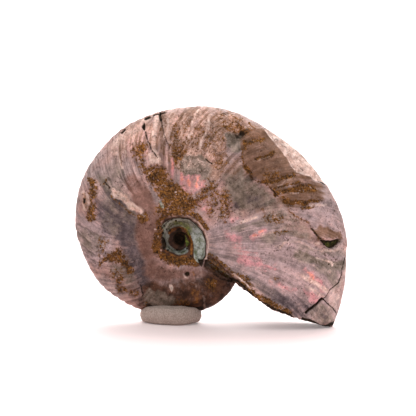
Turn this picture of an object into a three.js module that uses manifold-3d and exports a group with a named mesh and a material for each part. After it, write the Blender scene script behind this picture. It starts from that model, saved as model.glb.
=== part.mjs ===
// An ammonite fossil standing on edge: the broken lip of its shell touches the table,
// and a wad of putty props the coil.
// Millimetres, +Z up. The better flank faces -Y, and the shell opens at the lower right, towards +X.
// The origin is on the table, under the middle of the whole object.
import * as THREE from "three";
import { mergeVertices } from "three/addons/utils/BufferGeometryUtils.js";
import Module from "manifold-3d";

const wasm = await Module();
wasm.setup();

// The coil: a spiral that grows by the same share each turn. Turn 0 is the aperture, -1 one turn earlier.
const APERTURE_RADIUS = 43.0; // coil axis to the outer edge, or venter, at the aperture
const APERTURE_HEADING = -35.0; // degrees above +X, seen from the front
const GROWTH_PER_TURN = 2.577;
const TURNS = 3; // turns that the umbilicus shows before they are too small to see
const AXIS_HEIGHT = 20.3; // the table to the coil axis, in the middle of the umbilicus
const FIRST_CHAMBER = [1.5, 0.7, 1.5]; // half sizes of the round start of the coil
const SURGES = [
  // uneven growth: share of the radius, waves in a turn, turn of a crest
  { share: 0.038, waves: 1, crest: -0.38 },
  { share: 0.024, waves: 2, crest: -0.013 },
];
const SWELLS = [
  // swollen and worn stretches of the last turn: share of the radius, turn of their middle, spread in turns
  { share: 0.025, middle: -0.944, spread: 0.05 },
  { share: 0.011, middle: -0.694, spread: 0.07 },
  { share: -0.0105, middle: -0.458, spread: 0.028 },
  { share: -0.017, middle: -0.236, spread: 0.028 },
  { share: 0.0115, middle: -0.119, spread: 0.033 },
];

// The whorl's section, as shares of its venter radius and of its half breadth
const HALF_BREADTH = 9.4; // at the aperture
const BREADTH_POWER = 0.82; // the breadth grows a little slower than the radius
const UMBILICAL_EDGE = 0.168; // radius of the shoulder where the flank turns down into the umbilicus
const SHOULDER_BREADTH = 0.93;
const WALL_MIDDLE_BREADTH = 0.81;
const WALL_FOOT = 0.138; // radius where the umbilical wall goes into the whorl before it
const WALL_FOOT_BREADTH = 0.28;
const FULLEST = 0.24; // share of the flank, from the shoulder, where the whorl is widest
const INNER_FLANK_BREADTH = 0.975; // half way from the shoulder to there
const FLANK_FLATNESS = 2.35; // superellipse powers of the outer flank: radial, then lateral
const VENTER_ROUNDNESS = 1.75;

// Ribs: low sickle-shaped ridges that lean forward on the outer flank
const RIBS_PER_TURN = 42;
const RIB_HEIGHT = 0.26; // at the aperture
const RIB_START = 0.18; // share of the flank where the ribs begin to show
const RIB_FULL = 0.6; // and where they stand full
const RIB_ON_VENTER = 0.55; // share of that height left on the worn outer edge
const RIB_LEAN = 0.03; // turns that a rib is ahead at the venter
const RIB_BOW = 0.012; // turns that a rib lags at mid flank

// The broken mouth of the shell
const SHELL_WALL = 1.3;
const MOUTH_DEPTH = 0.016; // turns that the fill sits back from the lip
const MOUTH_OVERSHOOT = 0.01;
const LIP_BREAK = { at: [26.3, -16.9], slope: -18 }; // line of the front view along which the tip is off
const LIP_BREAK_CLEARANCE = 6; // how far that break may run back towards the coil

// Hollows in the front flank, placed from the coil axis: half sizes along, into and across it, and heading
const HOLLOWS = [
  { at: [35.2, -0.2], half: [2.0, 0.75, 1.2], heading: -8 },
  { at: [12.4, 24.5], half: [2.0, 0.7, 1.4], heading: -50 },
  { at: [16.0, 14.0], half: [1.6, 0.6, 0.8], heading: -55 },
  { at: [1.6, -8.3], half: [0.9, 0.6, 0.9], heading: 0 },
  { at: [9.6, -7.1], half: [4.6, 1.5, 1.0], heading: -38 }, // a chip along the lip, beside the umbilicus
];

// The putty, a wad that is flat underneath
const PUTTY_HALF_SIZE = [7.5, 6.2];
const PUTTY_HEIGHT = 4.6;
const PUTTY_X = -2.0; // from the coil axis
const PUTTY_PROFILE = [
  [0, 0], [0.8, 0], [0.93, 0.1], [1, 0.36], [0.98, 0.62], [0.86, 0.86], [0.6, 0.97], [0, 1],
]; // shares of its half size and height
const PRESS_GAP = 0.6; // between the putty and the mean surface of the ribbed shell pressed into it
const PRESSED_TURNS = [-1, -0.62];
const PRESSED_ROWS = 40;

// Facets
const OUTER_ROWS = 3 * RIBS_PER_TURN; // rows in the last turn
const INNER_ROWS = 32;
const FLANK_STEPS = 7;
const PUTTY_SIDES = 28;
const BALL_SIDES = 10;
const MERGE_DISTANCE = 1e-5;

const TAU = 2 * Math.PI;
const BEYOND = 4 * APERTURE_RADIUS; // side of a block that is larger than the fossil
const { degToRad, smoothstep, lerp, clamp } = THREE.MathUtils;

// Radius of the venter at a turn
function venterRadius(turn) {
  let surge = 0;
  for (const { share, waves, crest } of SURGES) surge += share * Math.cos(TAU * waves * (turn - crest));
  for (const { share, middle, spread } of SWELLS)
    surge += share * Math.exp(-(((turn - middle) / spread) ** 2));
  return APERTURE_RADIUS * GROWTH_PER_TURN ** turn * Math.exp(surge);
}

function halfBreadth(turn) {
  return HALF_BREADTH * (venterRadius(turn) / APERTURE_RADIUS) ** BREADTH_POWER;
}

// Height of the ribs at a share of the flank, which runs from the umbilical shoulder, 0, to the venter, 1
function ribRelief(turn, share) {
  const ahead = RIB_LEAN * share ** 3 - RIB_BOW * Math.sin(Math.PI * share);
  const crest = 0.5 + 0.5 * Math.cos(TAU * RIBS_PER_TURN * (turn - ahead));
  const shown = smoothstep(share, RIB_START, RIB_FULL);
  const worn = lerp(1, RIB_ON_VENTER, smoothstep(share, RIB_FULL, 1));
  return RIB_HEIGHT * GROWTH_PER_TURN ** turn * shown * worn * crest;
}

// One side of the whorl's section: [radius, breadth] points from the venter to the foot of the umbilical wall
function halfSection(turn, ribbed) {
  const radius = venterRadius(turn);
  const breadth = halfBreadth(turn);
  const edge = UMBILICAL_EDGE * radius;
  const foot = WALL_FOOT * radius;
  const fullest = edge + FULLEST * (radius - edge);
  const points = [];
  for (let i = 0; i <= FLANK_STEPS; i++) {
    const angle = (Math.PI / 2) * (1 - i / FLANK_STEPS);
    const outward = Math.sin(angle);
    const sideways = i === 0 ? 0 : Math.cos(angle);
    const reach = fullest + (radius - fullest) * outward ** (2 / FLANK_FLATNESS);
    const rib = ribbed ? ribRelief(turn, (reach - edge) / (radius - edge)) : 0;
    points.push([reach + rib * outward, breadth * sideways ** (2 / VENTER_ROUNDNESS) + rib * sideways]);
  }
  points.push([(edge + fullest) / 2, breadth * INNER_FLANK_BREADTH]);
  points.push([edge, breadth * SHOULDER_BREADTH]);
  points.push([(edge + foot) / 2, breadth * WALL_MIDDLE_BREADTH]);
  points.push([foot, breadth * WALL_FOOT_BREADTH]);
  return points;
}

// A closed three.js geometry as a solid that can be joined and cut
function solidOf(geometry) {
  geometry.deleteAttribute("normal");
  geometry.deleteAttribute("uv");
  const merged = mergeVertices(geometry, MERGE_DISTANCE);
  const vertProperties = Float32Array.from(merged.attributes.position.array);
  const triVerts = Uint32Array.from(merged.index.array);
  return new wasm.Manifold(new wasm.Mesh({ numProp: 3, vertProperties, triVerts }));
}

// A solid back as a named three.js mesh
function meshOf(name, made, material) {
  const { numProp, vertProperties, triVerts } = made.getMesh();
  const geometry = new THREE.BufferGeometry();
  const positions = new THREE.InterleavedBuffer(Float32Array.from(vertProperties), numProp);
  geometry.setAttribute("position", new THREE.InterleavedBufferAttribute(positions, 3, 0));
  geometry.setIndex([...triVerts]);
  const mesh = new THREE.Mesh(geometry, material);
  mesh.name = name;
  return mesh;
}

// Sweeps the sections of a stretch of the coil into one closed solid
function sweep(fromTurn, toTurn, rows, sectionAt) {
  const positions = [];
  const triangles = [];
  const sides = sectionAt(fromTurn).length - 1;
  const ring = 2 * sides + 1; // the venter once, then both flanks
  for (let row = 0; row <= rows; row++) {
    const turn = lerp(fromTurn, toTurn, row / rows);
    const heading = degToRad(APERTURE_HEADING) - TAU * turn;
    const half = sectionAt(turn);
    const front = half.map(([reach, y]) => [reach, -y]);
    for (const [reach, y] of [...front, ...half.slice(1).reverse()])
      positions.push(reach * Math.cos(heading), y, reach * Math.sin(heading));
  }
  const vertex = (row, i) => row * ring + (i % ring);
  for (let row = 0; row < rows; row++)
    for (let i = 0; i < ring; i++) {
      triangles.push(vertex(row, i), vertex(row, i + 1), vertex(row + 1, i + 1));
      triangles.push(vertex(row, i), vertex(row + 1, i + 1), vertex(row + 1, i));
    }
  for (let i = 0; i < sides; i++)
    for (const corners of [[i, i + 1, ring - i - 1], [i, ring - i - 1, ring - i]]) {
      // at the venter, both corners beyond it are the same one
      if (new Set(corners.map((corner) => corner % ring)).size < corners.length) continue;
      const [a, b, c] = corners;
      triangles.push(vertex(0, a), vertex(0, c), vertex(0, b));
      triangles.push(vertex(rows, a), vertex(rows, b), vertex(rows, c));
    }
  const geometry = new THREE.BufferGeometry();
  geometry.setAttribute("position", new THREE.Float32BufferAttribute(positions, 3));
  geometry.setIndex(triangles);
  return solidOf(geometry);
}

// A squashed ball, for the first chamber and for what is hollowed out of the flank
function ball(halfSizes) {
  return new THREE.SphereGeometry(1, BALL_SIDES, BALL_SIDES / 2).scale(...halfSizes);
}

// Everything under a sloping line of the front view
function under([x, z], slope) {
  const block = new THREE.BoxGeometry(BEYOND, BEYOND, BEYOND).translate(0, 0, -BEYOND / 2);
  return solidOf(block.rotateY(-degToRad(slope)).translate(x, 0, z));
}

// The hollow of the mouth: the section, drawn in by the shell's own thickness
function mouth() {
  const drawnIn = (turn) => {
    const half = halfSection(turn, false);
    const venter = half[0][0];
    const middle = (venter + half.at(-1)[0]) / 2;
    const reachShare = 1 - SHELL_WALL / (venter - middle);
    const breadthShare = 1 - SHELL_WALL / halfBreadth(turn);
    return half.map(([reach, y]) => [lerp(middle, reach, reachShare), y * breadthShare]);
  };
  return sweep(-MOUTH_DEPTH, MOUTH_OVERSHOOT, 2, drawnIn);
}

// The whole coil, half a turn at a time, because a longer sweep would run into itself
function coil() {
  let whole = solidOf(ball(FIRST_CHAMBER));
  for (let half = 2 * TURNS; half >= 1; half--) {
    const rows = (half <= 2 ? OUTER_ROWS : INNER_ROWS) / 2;
    const piece = sweep(-half / 2, (1 - half) / 2, rows, (turn) => halfSection(turn, true));
    whole = whole.add(half === 1 ? piece.subtract(mouth()) : piece);
  }
  return whole;
}

// How far the smooth front flank stands from the middle plane, at a place measured from the coil axis
function flankDepth(x, z) {
  const ahead = (degToRad(APERTURE_HEADING) - Math.atan2(z, x)) / TAU;
  const turn = ahead - Math.ceil(ahead);
  const radius = venterRadius(turn);
  const edge = UMBILICAL_EDGE * radius;
  const fullest = edge + FULLEST * (radius - edge);
  const out = clamp((Math.hypot(x, z) - fullest) / (radius - fullest), 0, 1);
  return halfBreadth(turn) * (1 - out ** FLANK_FLATNESS) ** (1 / VENTER_ROUNDNESS);
}

// The fossil: the coil with its lip broken, its flank pitted, and its lowest edge worn flat where it stands
function ammonite() {
  let shell = coil();
  const besideCoil = new THREE.BoxGeometry(BEYOND, BEYOND, BEYOND);
  besideCoil.translate(LIP_BREAK.at[0] - LIP_BREAK_CLEARANCE + BEYOND / 2, 0, 0);
  shell = shell.subtract(under(LIP_BREAK.at, LIP_BREAK.slope).intersect(solidOf(besideCoil)));
  for (const { at: [x, z], half, heading } of HOLLOWS) {
    const hollow = ball(half).rotateY(-degToRad(heading)).translate(x, -flankDepth(x, z), z);
    shell = shell.subtract(solidOf(hollow));
  }
  return shell.subtract(under([0, -AXIS_HEIGHT], 0));
}

// The wad of putty, with the coil's lower edge pressed into it
function putty() {
  const profile = PUTTY_PROFILE.map(([across, up]) => new THREE.Vector2(across, up));
  const wad = new THREE.LatheGeometry(profile, PUTTY_SIDES).rotateX(Math.PI / 2);
  wad.scale(...PUTTY_HALF_SIZE, PUTTY_HEIGHT).translate(PUTTY_X, 0, -AXIS_HEIGHT);
  const grown = (turn) =>
    halfSection(turn, false).map(([reach, y], i) => [reach + PRESS_GAP, i === 0 ? 0 : y + PRESS_GAP]);
  return solidOf(wad).subtract(sweep(...PRESSED_TURNS, PRESSED_ROWS, grown));
}

const fossilShell = new THREE.MeshStandardMaterial({ color: 0x9a7a72, roughness: 0.45, metalness: 0 });
const greyPutty = new THREE.MeshStandardMaterial({ color: 0xa89a90, roughness: 0.9, metalness: 0 });

const standing = new THREE.Group();
standing.add(meshOf("ammonite", ammonite(), fossilShell), meshOf("putty_foot", putty(), greyPutty));
const box = new THREE.Box3().setFromObject(standing);
standing.position.set(-(box.min.x + box.max.x) / 2, -(box.min.y + box.max.y) / 2, AXIS_HEIGHT);

const object = new THREE.Group();
object.add(standing);
export default object;
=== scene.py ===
"""An ammonite fossil that stands on the tip of its broken lip and on a wad of putty.

The shell is coiled, fused and weathered as a sculptor would do it, and then stained with marks that
were listed one by one. Units are metres, +Z is up, and the better flank faces -Y. Marks on that flank
are in photo pixels.
"""

import itertools
import logging
import math
from dataclasses import dataclass, field
from enum import Enum
from typing import Any

import bpy
import numpy as np
from mathutils import Matrix, Quaternion, Vector
from mathutils.bvhtree import BVHTree


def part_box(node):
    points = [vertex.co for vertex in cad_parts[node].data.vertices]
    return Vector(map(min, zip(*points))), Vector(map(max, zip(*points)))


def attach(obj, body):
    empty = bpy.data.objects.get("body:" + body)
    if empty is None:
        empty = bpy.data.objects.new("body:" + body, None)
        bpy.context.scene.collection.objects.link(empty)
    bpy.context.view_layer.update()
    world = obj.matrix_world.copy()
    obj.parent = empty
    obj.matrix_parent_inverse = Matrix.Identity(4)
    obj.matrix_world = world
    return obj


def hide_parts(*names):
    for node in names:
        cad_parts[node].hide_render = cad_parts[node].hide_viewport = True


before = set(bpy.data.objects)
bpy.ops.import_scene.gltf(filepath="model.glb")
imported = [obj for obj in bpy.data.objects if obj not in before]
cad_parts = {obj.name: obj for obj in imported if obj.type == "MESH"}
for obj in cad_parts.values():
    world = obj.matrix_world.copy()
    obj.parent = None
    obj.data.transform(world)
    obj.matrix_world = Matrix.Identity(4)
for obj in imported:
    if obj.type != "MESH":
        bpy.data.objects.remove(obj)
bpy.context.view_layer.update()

MM = 0.001
TAU = 2 * math.pi
PHOTO_SIDE = 416  # pixels, in both directions

Spot = tuple[float, float]
Outline = tuple[Spot, ...]
Colour = tuple[float, float, float]

log = logging.getLogger("ammonite")


def smoothstep(value: np.ndarray, low: float, high: float) -> np.ndarray:
    """A smooth rise from 0 at low to 1 at high.

    Args:
        value: Where to read the rise.
        low: Value at the foot of the rise.
        high: Value at its head, which may be below low for a fall.

    Returns:
        The height of the rise at each value.
    """
    part = np.clip((value - low) / (high - low), 0.0, 1.0)
    return part * part * (3 - 2 * part)


def srgb(red: int, green: int, blue: int) -> Colour:
    """A colour as a picture shows it, from 0 to 255, in the linear values that shaders take."""
    parts = [channel / 255 for channel in (red, green, blue)]
    return tuple(p / 12.92 if p <= 0.04045 else ((p + 0.055) / 1.055) ** 2.4 for p in parts)


def rgba(colour: Colour) -> tuple[float, float, float, float]:
    """A colour as a socket takes it."""
    return (*colour, 1.0)


class Tone(Enum):
    """What a part of the shell's surface is, or the painted shade and highlight laid on it; the value names
    the attribute that holds its cover.
    """

    LILAC = "lilac"
    TAN = "tan"
    GREY = "grey"
    MAUVE = "mauve"
    BROWN = "brown"
    UMBER_AND_SHADE = "umber_and_shade"
    SLATE = "slate"
    RUST = "rust"
    PINK = "pink"
    CORAL = "coral"
    PALE_AND_HIGHLIGHT = "pale"
    NACRE = "nacre"
    OCHRE = "ochre"
    GREEN = "green"
    DARK = "dark"
    GRIME_AND_SHADE = "grime_and_shade"
    BLEACH_AND_HIGHLIGHT = "bleach_and_highlight"


@dataclass(frozen=True)
class Viewpoint:
    """The camera's stand, from where the coil axis and the slope of the table lie in the photo."""

    coil_pixel: Spot = (181.0, 239.0)
    pixel: float = 0.24 * MM
    distance: float = 420 * MM
    elevation: float = math.radians(5.0)
    roll: float = math.radians(1.49)
    sensor: float = 36.0

    @property
    def lens(self) -> float:
        """Focal length in millimetres that shows a pixel at its real size in the fossil's middle plane."""
        return self.sensor * self.distance / (PHOTO_SIDE * self.pixel)

    def matrix(self, axis: Vector) -> Matrix:
        """The camera's place and turn.

        Args:
            axis: A point of the coil axis, in the fossil's middle plane.

        Returns:
            The camera's world matrix.
        """
        right = (PHOTO_SIDE / 2 - self.coil_pixel[0]) * self.pixel
        up = (self.coil_pixel[1] - PHOTO_SIDE / 2) * self.pixel
        cosine, sine = math.cos(self.roll), math.sin(self.roll)
        target = axis + Vector((right * cosine - up * sine, 0, right * sine + up * cosine))
        back = Vector((0, -math.cos(self.elevation), math.sin(self.elevation)))
        turn = (-back).to_track_quat("-Z", "Y") @ Quaternion((0, 0, 1), self.roll)
        return Matrix.LocRotScale(target + back * self.distance, turn, None)

    def pixels(self, points: np.ndarray, axis: Vector) -> np.ndarray:
        """Where points of the fossil lie in the photo.

        Args:
            points: Rows of x, y and z.
            axis: A point of the coil axis, in the fossil's middle plane.

        Returns:
            Rows of pixels from the left and from the top.
        """
        into = np.array(self.matrix(axis).inverted())
        seen = points @ into[:3, :3].T + into[:3, 3]
        scale = PHOTO_SIDE * self.lens / self.sensor
        centre = PHOTO_SIDE / 2
        ahead = -seen[:, 2]
        return np.column_stack((centre + scale * seen[:, 0] / ahead, centre - scale * seen[:, 1] / ahead))


class LatticeNoise:
    """Smooth seeded noise, for weathering that is modelled and not only painted."""

    CELLS = 48
    OCTAVE_SHIFT = 17.3

    def __init__(self, seed: int) -> None:
        """Draws the lattice's values from the seed."""
        self._values = np.random.default_rng(seed).uniform(-1.0, 1.0, (self.CELLS,) * 3)

    def __call__(self, points: np.ndarray, size: float, octaves: int = 1) -> np.ndarray:
        """Noise between about -1 and 1.

        Args:
            points: Rows of x, y and z.
            size: Width of the largest lumps, in the points' units.
            octaves: Layers, each half as large and half as strong as the one before.

        Returns:
            One value for each point.
        """
        total = np.zeros(len(points))
        for octave in range(octaves):
            places = points / size * 2**octave + octave * self.OCTAVE_SHIFT
            total += self._layer(places) / 2**octave
        return total

    def _layer(self, places: np.ndarray) -> np.ndarray:
        """One layer of noise at places counted in lattice cells."""
        whole = np.floor(places).astype(int)
        part = places - whole
        part = part * part * (3 - 2 * part)
        total = np.zeros(len(places))
        for corner in itertools.product((0, 1), repeat=3):
            cell = (whole + corner) % self.CELLS
            weight = np.prod(np.where(corner, part, 1 - part), axis=1)
            total += weight * self._values[cell[:, 0], cell[:, 1], cell[:, 2]]
        return total


def curved(path: Outline, closed: bool, steps: int = 3) -> np.ndarray:
    """Spots on a smooth curve that passes through the spots of a path.

    Args:
        path: The spots, in order.
        closed: Whether the curve comes back to its start.
        steps: Stretches between one spot and the next.

    Returns:
        Rows of pixels, which start and end on the path's first and last spots.
    """
    spots = np.array(path, float)
    if len(spots) < 3:
        return np.vstack((spots, spots[-1:]))
    if closed:
        spots = np.vstack((spots[-1:], spots, spots[:2]))
    else:
        spots = np.vstack((spots[:1], spots, spots[-1:]))
    part = (np.arange(steps) / steps)[:, None]
    rows = [
        start + part * (end - before) / 2 + part**2 * (before - 2.5 * start + 2 * end - after / 2)
        + part**3 * (1.5 * start - before / 2 - 1.5 * end + after / 2)
        for before, start, end, after in zip(spots, spots[1:], spots[2:], spots[3:])
    ]
    return np.vstack((*rows, spots[-2:-1]))


def near_path(pixels: np.ndarray, path: np.ndarray, margin: float) -> np.ndarray:
    """True for each pixel in the box round a path, widened by a margin."""
    return np.all((pixels > path.min(0) - margin) & (pixels < path.max(0) + margin), axis=1)


def segment_distance(pixels: np.ndarray, start: np.ndarray, end: np.ndarray) -> np.ndarray:
    """Distance of each pixel to a straight stretch between two spots."""
    along = end - start
    offset = pixels - start
    part = np.clip(offset @ along / max(along @ along, 1e-9), 0, 1)
    return np.linalg.norm(offset - part[:, None] * along, axis=1)


@dataclass(frozen=True)
class Patch:
    """An area of the front flank with soft edges, outlined in photo pixels."""

    outline: Outline
    strength: float = 1.0
    fade: float = 9.0
    relief: float = 0.0
    loose: float = 1.6

    def cover(self, pixels: np.ndarray) -> np.ndarray:
        """How much of each pixel the patch covers, from 0 to its strength."""
        path = curved(self.outline, True)
        near = near_path(pixels, path, self.fade)
        across, down = pixels[near].T
        inside = np.zeros(len(across), bool)
        nearest = np.full(len(across), np.inf)
        for start, end in zip(path, path[1:]):
            nearest = np.minimum(nearest, segment_distance(pixels[near], start, end))
            if start[1] == end[1]:
                continue
            slope = (end[0] - start[0]) / (end[1] - start[1])
            spans = (start[1] > down) != (end[1] > down)
            inside ^= spans & (across < start[0] + slope * (down - start[1]))
        signed = np.where(inside, nearest, -nearest)
        cover = np.zeros(len(pixels))
        cover[near] = self.strength * smoothstep(signed, -self.fade / 2, self.fade / 2)
        return cover


@dataclass(frozen=True)
class Stroke:
    """A line on the front flank, along a path of photo pixels; a path of one spot is a dot."""

    path: Outline
    width: float = 1.6
    strength: float = 1.0
    relief: float = 0.0
    loose: float = 0.5

    def cover(self, pixels: np.ndarray) -> np.ndarray:
        """How much of each pixel the stroke covers, from 0 to its strength."""
        path = curved(self.path, False)
        near = near_path(pixels, path, self.width)
        nearest = np.full(np.count_nonzero(near), np.inf)
        for start, end in zip(path, path[1:]):
            nearest = np.minimum(nearest, segment_distance(pixels[near], start, end))
        cover = np.zeros(len(pixels))
        cover[near] = self.strength * smoothstep(nearest, self.width * 0.9, self.width * 0.25)
        return cover


Mark = Patch | Stroke


def dots(strength: float, *spots: tuple[float, float, float]) -> tuple[Stroke, ...]:
    """Dots of one strength, each from its pixel and its width."""
    return tuple(Stroke(((across, down),), width, strength) for across, down, width in spots)


def strokes(width: float, strength: float, relief: float, loose: float,
            *paths: Outline) -> tuple[Stroke, ...]:
    """Strokes of one look, one along each path."""
    return tuple(Stroke(path, width, strength, relief, loose) for path in paths)


# The edge along which the outer layer of shell is broken away.
LAYER_EDGE: Outline = (
    (242.9, 149.8), (243.9, 162.8), (249.4, 173.9), (255, 181.3), (262.4, 184), (269.8, 187.7),
    (276.2, 194.2), (285.5, 199.8), (288.3, 209), (297.5, 217.3), (304.9, 221), (314.2, 231.2),
    (323.4, 240.5),
)

# Broad soft areas of the flank's ground, which the growth streaks show through.
GROUND_MARKS: dict[Tone | None, tuple[Mark, ...]] = {
    Tone.LILAC: (
        Patch(((206, 228), (236, 217), (270, 224), (300, 236), (322, 248), (346, 256), (342, 290), (332, 320),
               (300, 314), (262, 298), (236, 272), (212, 252)), 0.9, 16),
        Patch(((296, 206), (328, 196), (342, 220), (342, 238), (320, 236), (304, 222)), 0.8, 14),
        Patch(((72, 214), (96, 216), (114, 236), (108, 256), (98, 270), (80, 258)), 0.9, 14),
    ),
    Tone.TAN: (
        Patch(((160, 118), (180, 110), (205, 107), (235, 113), (258, 125), (243, 131), (228, 136), (224, 152),
               (222, 178), (206, 182), (196, 172), (180, 172), (168, 150)), 0.9, 12),
        Patch(((108, 147), (130, 128), (150, 117), (165, 116), (170, 150), (150, 142), (132, 150), (120, 168),
               (108, 165)), 0.6, 14),
        Patch(((262, 194), (280, 202), (292, 212), (306, 224), (318, 238), (300, 240), (280, 228),
               (258, 214)), 0.35, 12),
    ),
    Tone.GREY: (
        Patch(((266, 198), (282, 204), (300, 222), (312, 236), (296, 240), (276, 228), (262, 214)), 0.55, 14),
        Patch(((98, 176), (112, 178), (128, 190), (136, 214), (133, 240), (118, 240), (108, 232), (102, 222),
               (104, 208), (102, 190)), 0.8, 12),
        Patch(((108, 161), (118, 163), (124, 180), (122, 189), (112, 182)), 0.6, 10),
        Patch(((72, 226), (86, 228), (102, 236), (110, 241), (100, 250), (88, 256), (78, 246)), 0.6, 12),
        Patch(((224, 178), (243, 165), (250, 178), (258, 186), (252, 198), (238, 204), (226, 198)), 0.9, 12),
        Patch(((236, 196), (250, 188), (264, 190), (274, 198), (268, 208), (252, 210), (238, 210)), 0.9, 12),
        Patch(((180, 163), (188, 154), (206, 156), (213, 163), (211, 174), (205, 181), (188, 180)), 1.0, 8),
        Patch(((252, 280), (262, 284), (275, 294), (285, 311), (270, 302), (258, 292)), 0.5, 10),
        Patch(((111, 266), (124, 264), (133, 270), (134, 284), (124, 284), (114, 276)), 0.8, 9),
        Patch(((225, 133), (237, 131), (243, 140), (243, 151), (234, 150)), 1.0, 4, -0.15 * MM),
        Patch(((145, 298), (152, 291), (162, 290), (171, 296), (174, 304), (160, 308), (149, 305)),
              1.0, 5, 0.0, 2.6),
        Patch(((311, 310), (322, 304), (334, 314), (329, 325), (314, 320)), 0.75, 8, 0.0, 2.4),
        Stroke(((300, 257), (316, 261), (332, 268), (343, 267)), 10.0, 0.95, -0.15 * MM, 1.6),
        Stroke(((318, 268), (330, 276), (336, 284)), 9.0, 0.75, 0.0, 1.6),
        Stroke(((232, 228), (250, 226), (268, 220)), 5.0, 0.55, -0.1 * MM, 1.6),
        Stroke(((266, 238), (275, 234), (286, 230), (296, 230)), 7.0, 0.6, -0.15 * MM, 1.6),
        Stroke(((258, 247), (270, 243), (284, 239)), 6.0, 0.4, -0.1 * MM, 1.6),
        Stroke(((300, 248), (322, 251), (345, 253)), 6.0, 0.55, -0.12 * MM, 1.6),
        Stroke(((209, 264), (218, 270), (227, 276)), 5.0, 0.8),
    ),
    Tone.SLATE: (
        Patch(((246, 197), (258, 196), (267, 202), (262, 208), (250, 207)), 0.4, 8),
        Patch(((230, 206), (238, 203), (242, 208), (240, 215), (231, 214)), 0.7, 6),
        Patch(((256, 286), (275, 291), (295, 295), (310, 302), (310, 313), (292, 311), (272, 303)), 0.75, 10),
        Patch(((113, 238), (120, 225), (132, 220), (134, 236), (140, 252), (146, 264), (146, 280), (140, 290),
               (136, 284), (132, 268), (124, 255)), 0.9, 12),
        Patch(((100, 190), (116, 190), (130, 204), (136, 220), (130, 236), (114, 238), (98, 228), (96, 210)),
              0.6, 14),
        Patch(((318, 310), (325, 309), (330, 317), (322, 321)), 0.45, 7, 0.0, 2.4),
    ),
    Tone.MAUVE: (
        Patch(((126, 175), (136, 176), (150, 192), (158, 212), (160, 240), (150, 262), (138, 250), (134, 230),
               (136, 214), (128, 190)), 0.95, 8, 0.12 * MM, 0.8),
        Patch(((148, 256), (160, 262), (176, 267), (192, 266), (206, 270), (202, 278), (182, 282), (160, 280),
               (144, 274)), 0.9, 12),
    ),
    Tone.UMBER_AND_SHADE: (
        # Dark brown of the lower flank, darkened too with painted shade where it faces the table.
        Patch(((138, 288), (146, 278), (162, 282), (182, 284), (198, 278), (212, 270), (226, 278), (242, 286),
               (228, 300), (212, 312), (200, 316), (175, 316), (160, 316), (146, 312)), 1.0, 14),
        Patch(((116, 284), (128, 288), (138, 282), (150, 296), (150, 312), (134, 304), (122, 296)), 0.65, 14),
        # Painted shade in the umbilicus, over its dark brown.
        Patch(((158, 240), (162, 226), (174, 217), (190, 218), (202, 228), (207, 244), (202, 262), (186, 264),
               (168, 260)), 1.0, 4),
        # Painted shade in the hollow under the lip, over its dark brown.
        Patch(((203, 259), (213, 256), (234, 275), (242, 285), (233, 284), (222, 279), (210, 273),
               (204, 267)), 1.0, 6),
    ),
    Tone.BROWN: (
        Patch(((243, 131), (262, 128), (274, 142), (284, 155), (290, 167), (297, 172), (292, 183), (278, 193),
               (262, 184), (250, 176), (244, 163)), 0.95, 5),
        Patch(((290, 167), (308, 177), (320, 184), (324, 194), (312, 206), (298, 208), (284, 203), (276, 193),
               (290, 183)), 0.8, 9),
        Patch(((315, 229), (322, 225.5), (338, 231), (339, 238), (323, 239)), 0.95, 6, 0.0, 2.4),
        Patch(((224, 152), (236, 154), (243, 162), (246, 174), (234, 178), (224, 172)), 0.55, 12),
        Stroke(((177, 118), (173, 128), (175, 142)), 7.0, 0.5, 0.0, 1.6),
        Stroke(((190, 118), (186, 128), (186, 140)), 6.0, 0.4, 0.0, 1.6),
        Stroke(((206, 116), (200, 127), (196, 142)), 6.0, 0.45, 0.0, 1.6),
        Stroke(((221, 124), (214, 134), (208, 148)), 7.0, 0.55, 0.0, 1.6),
        Stroke(((162, 118), (161, 130), (164, 148), (167, 160)), 4.0, 0.55, 0.0, 1.6),
    ),
}
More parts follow.
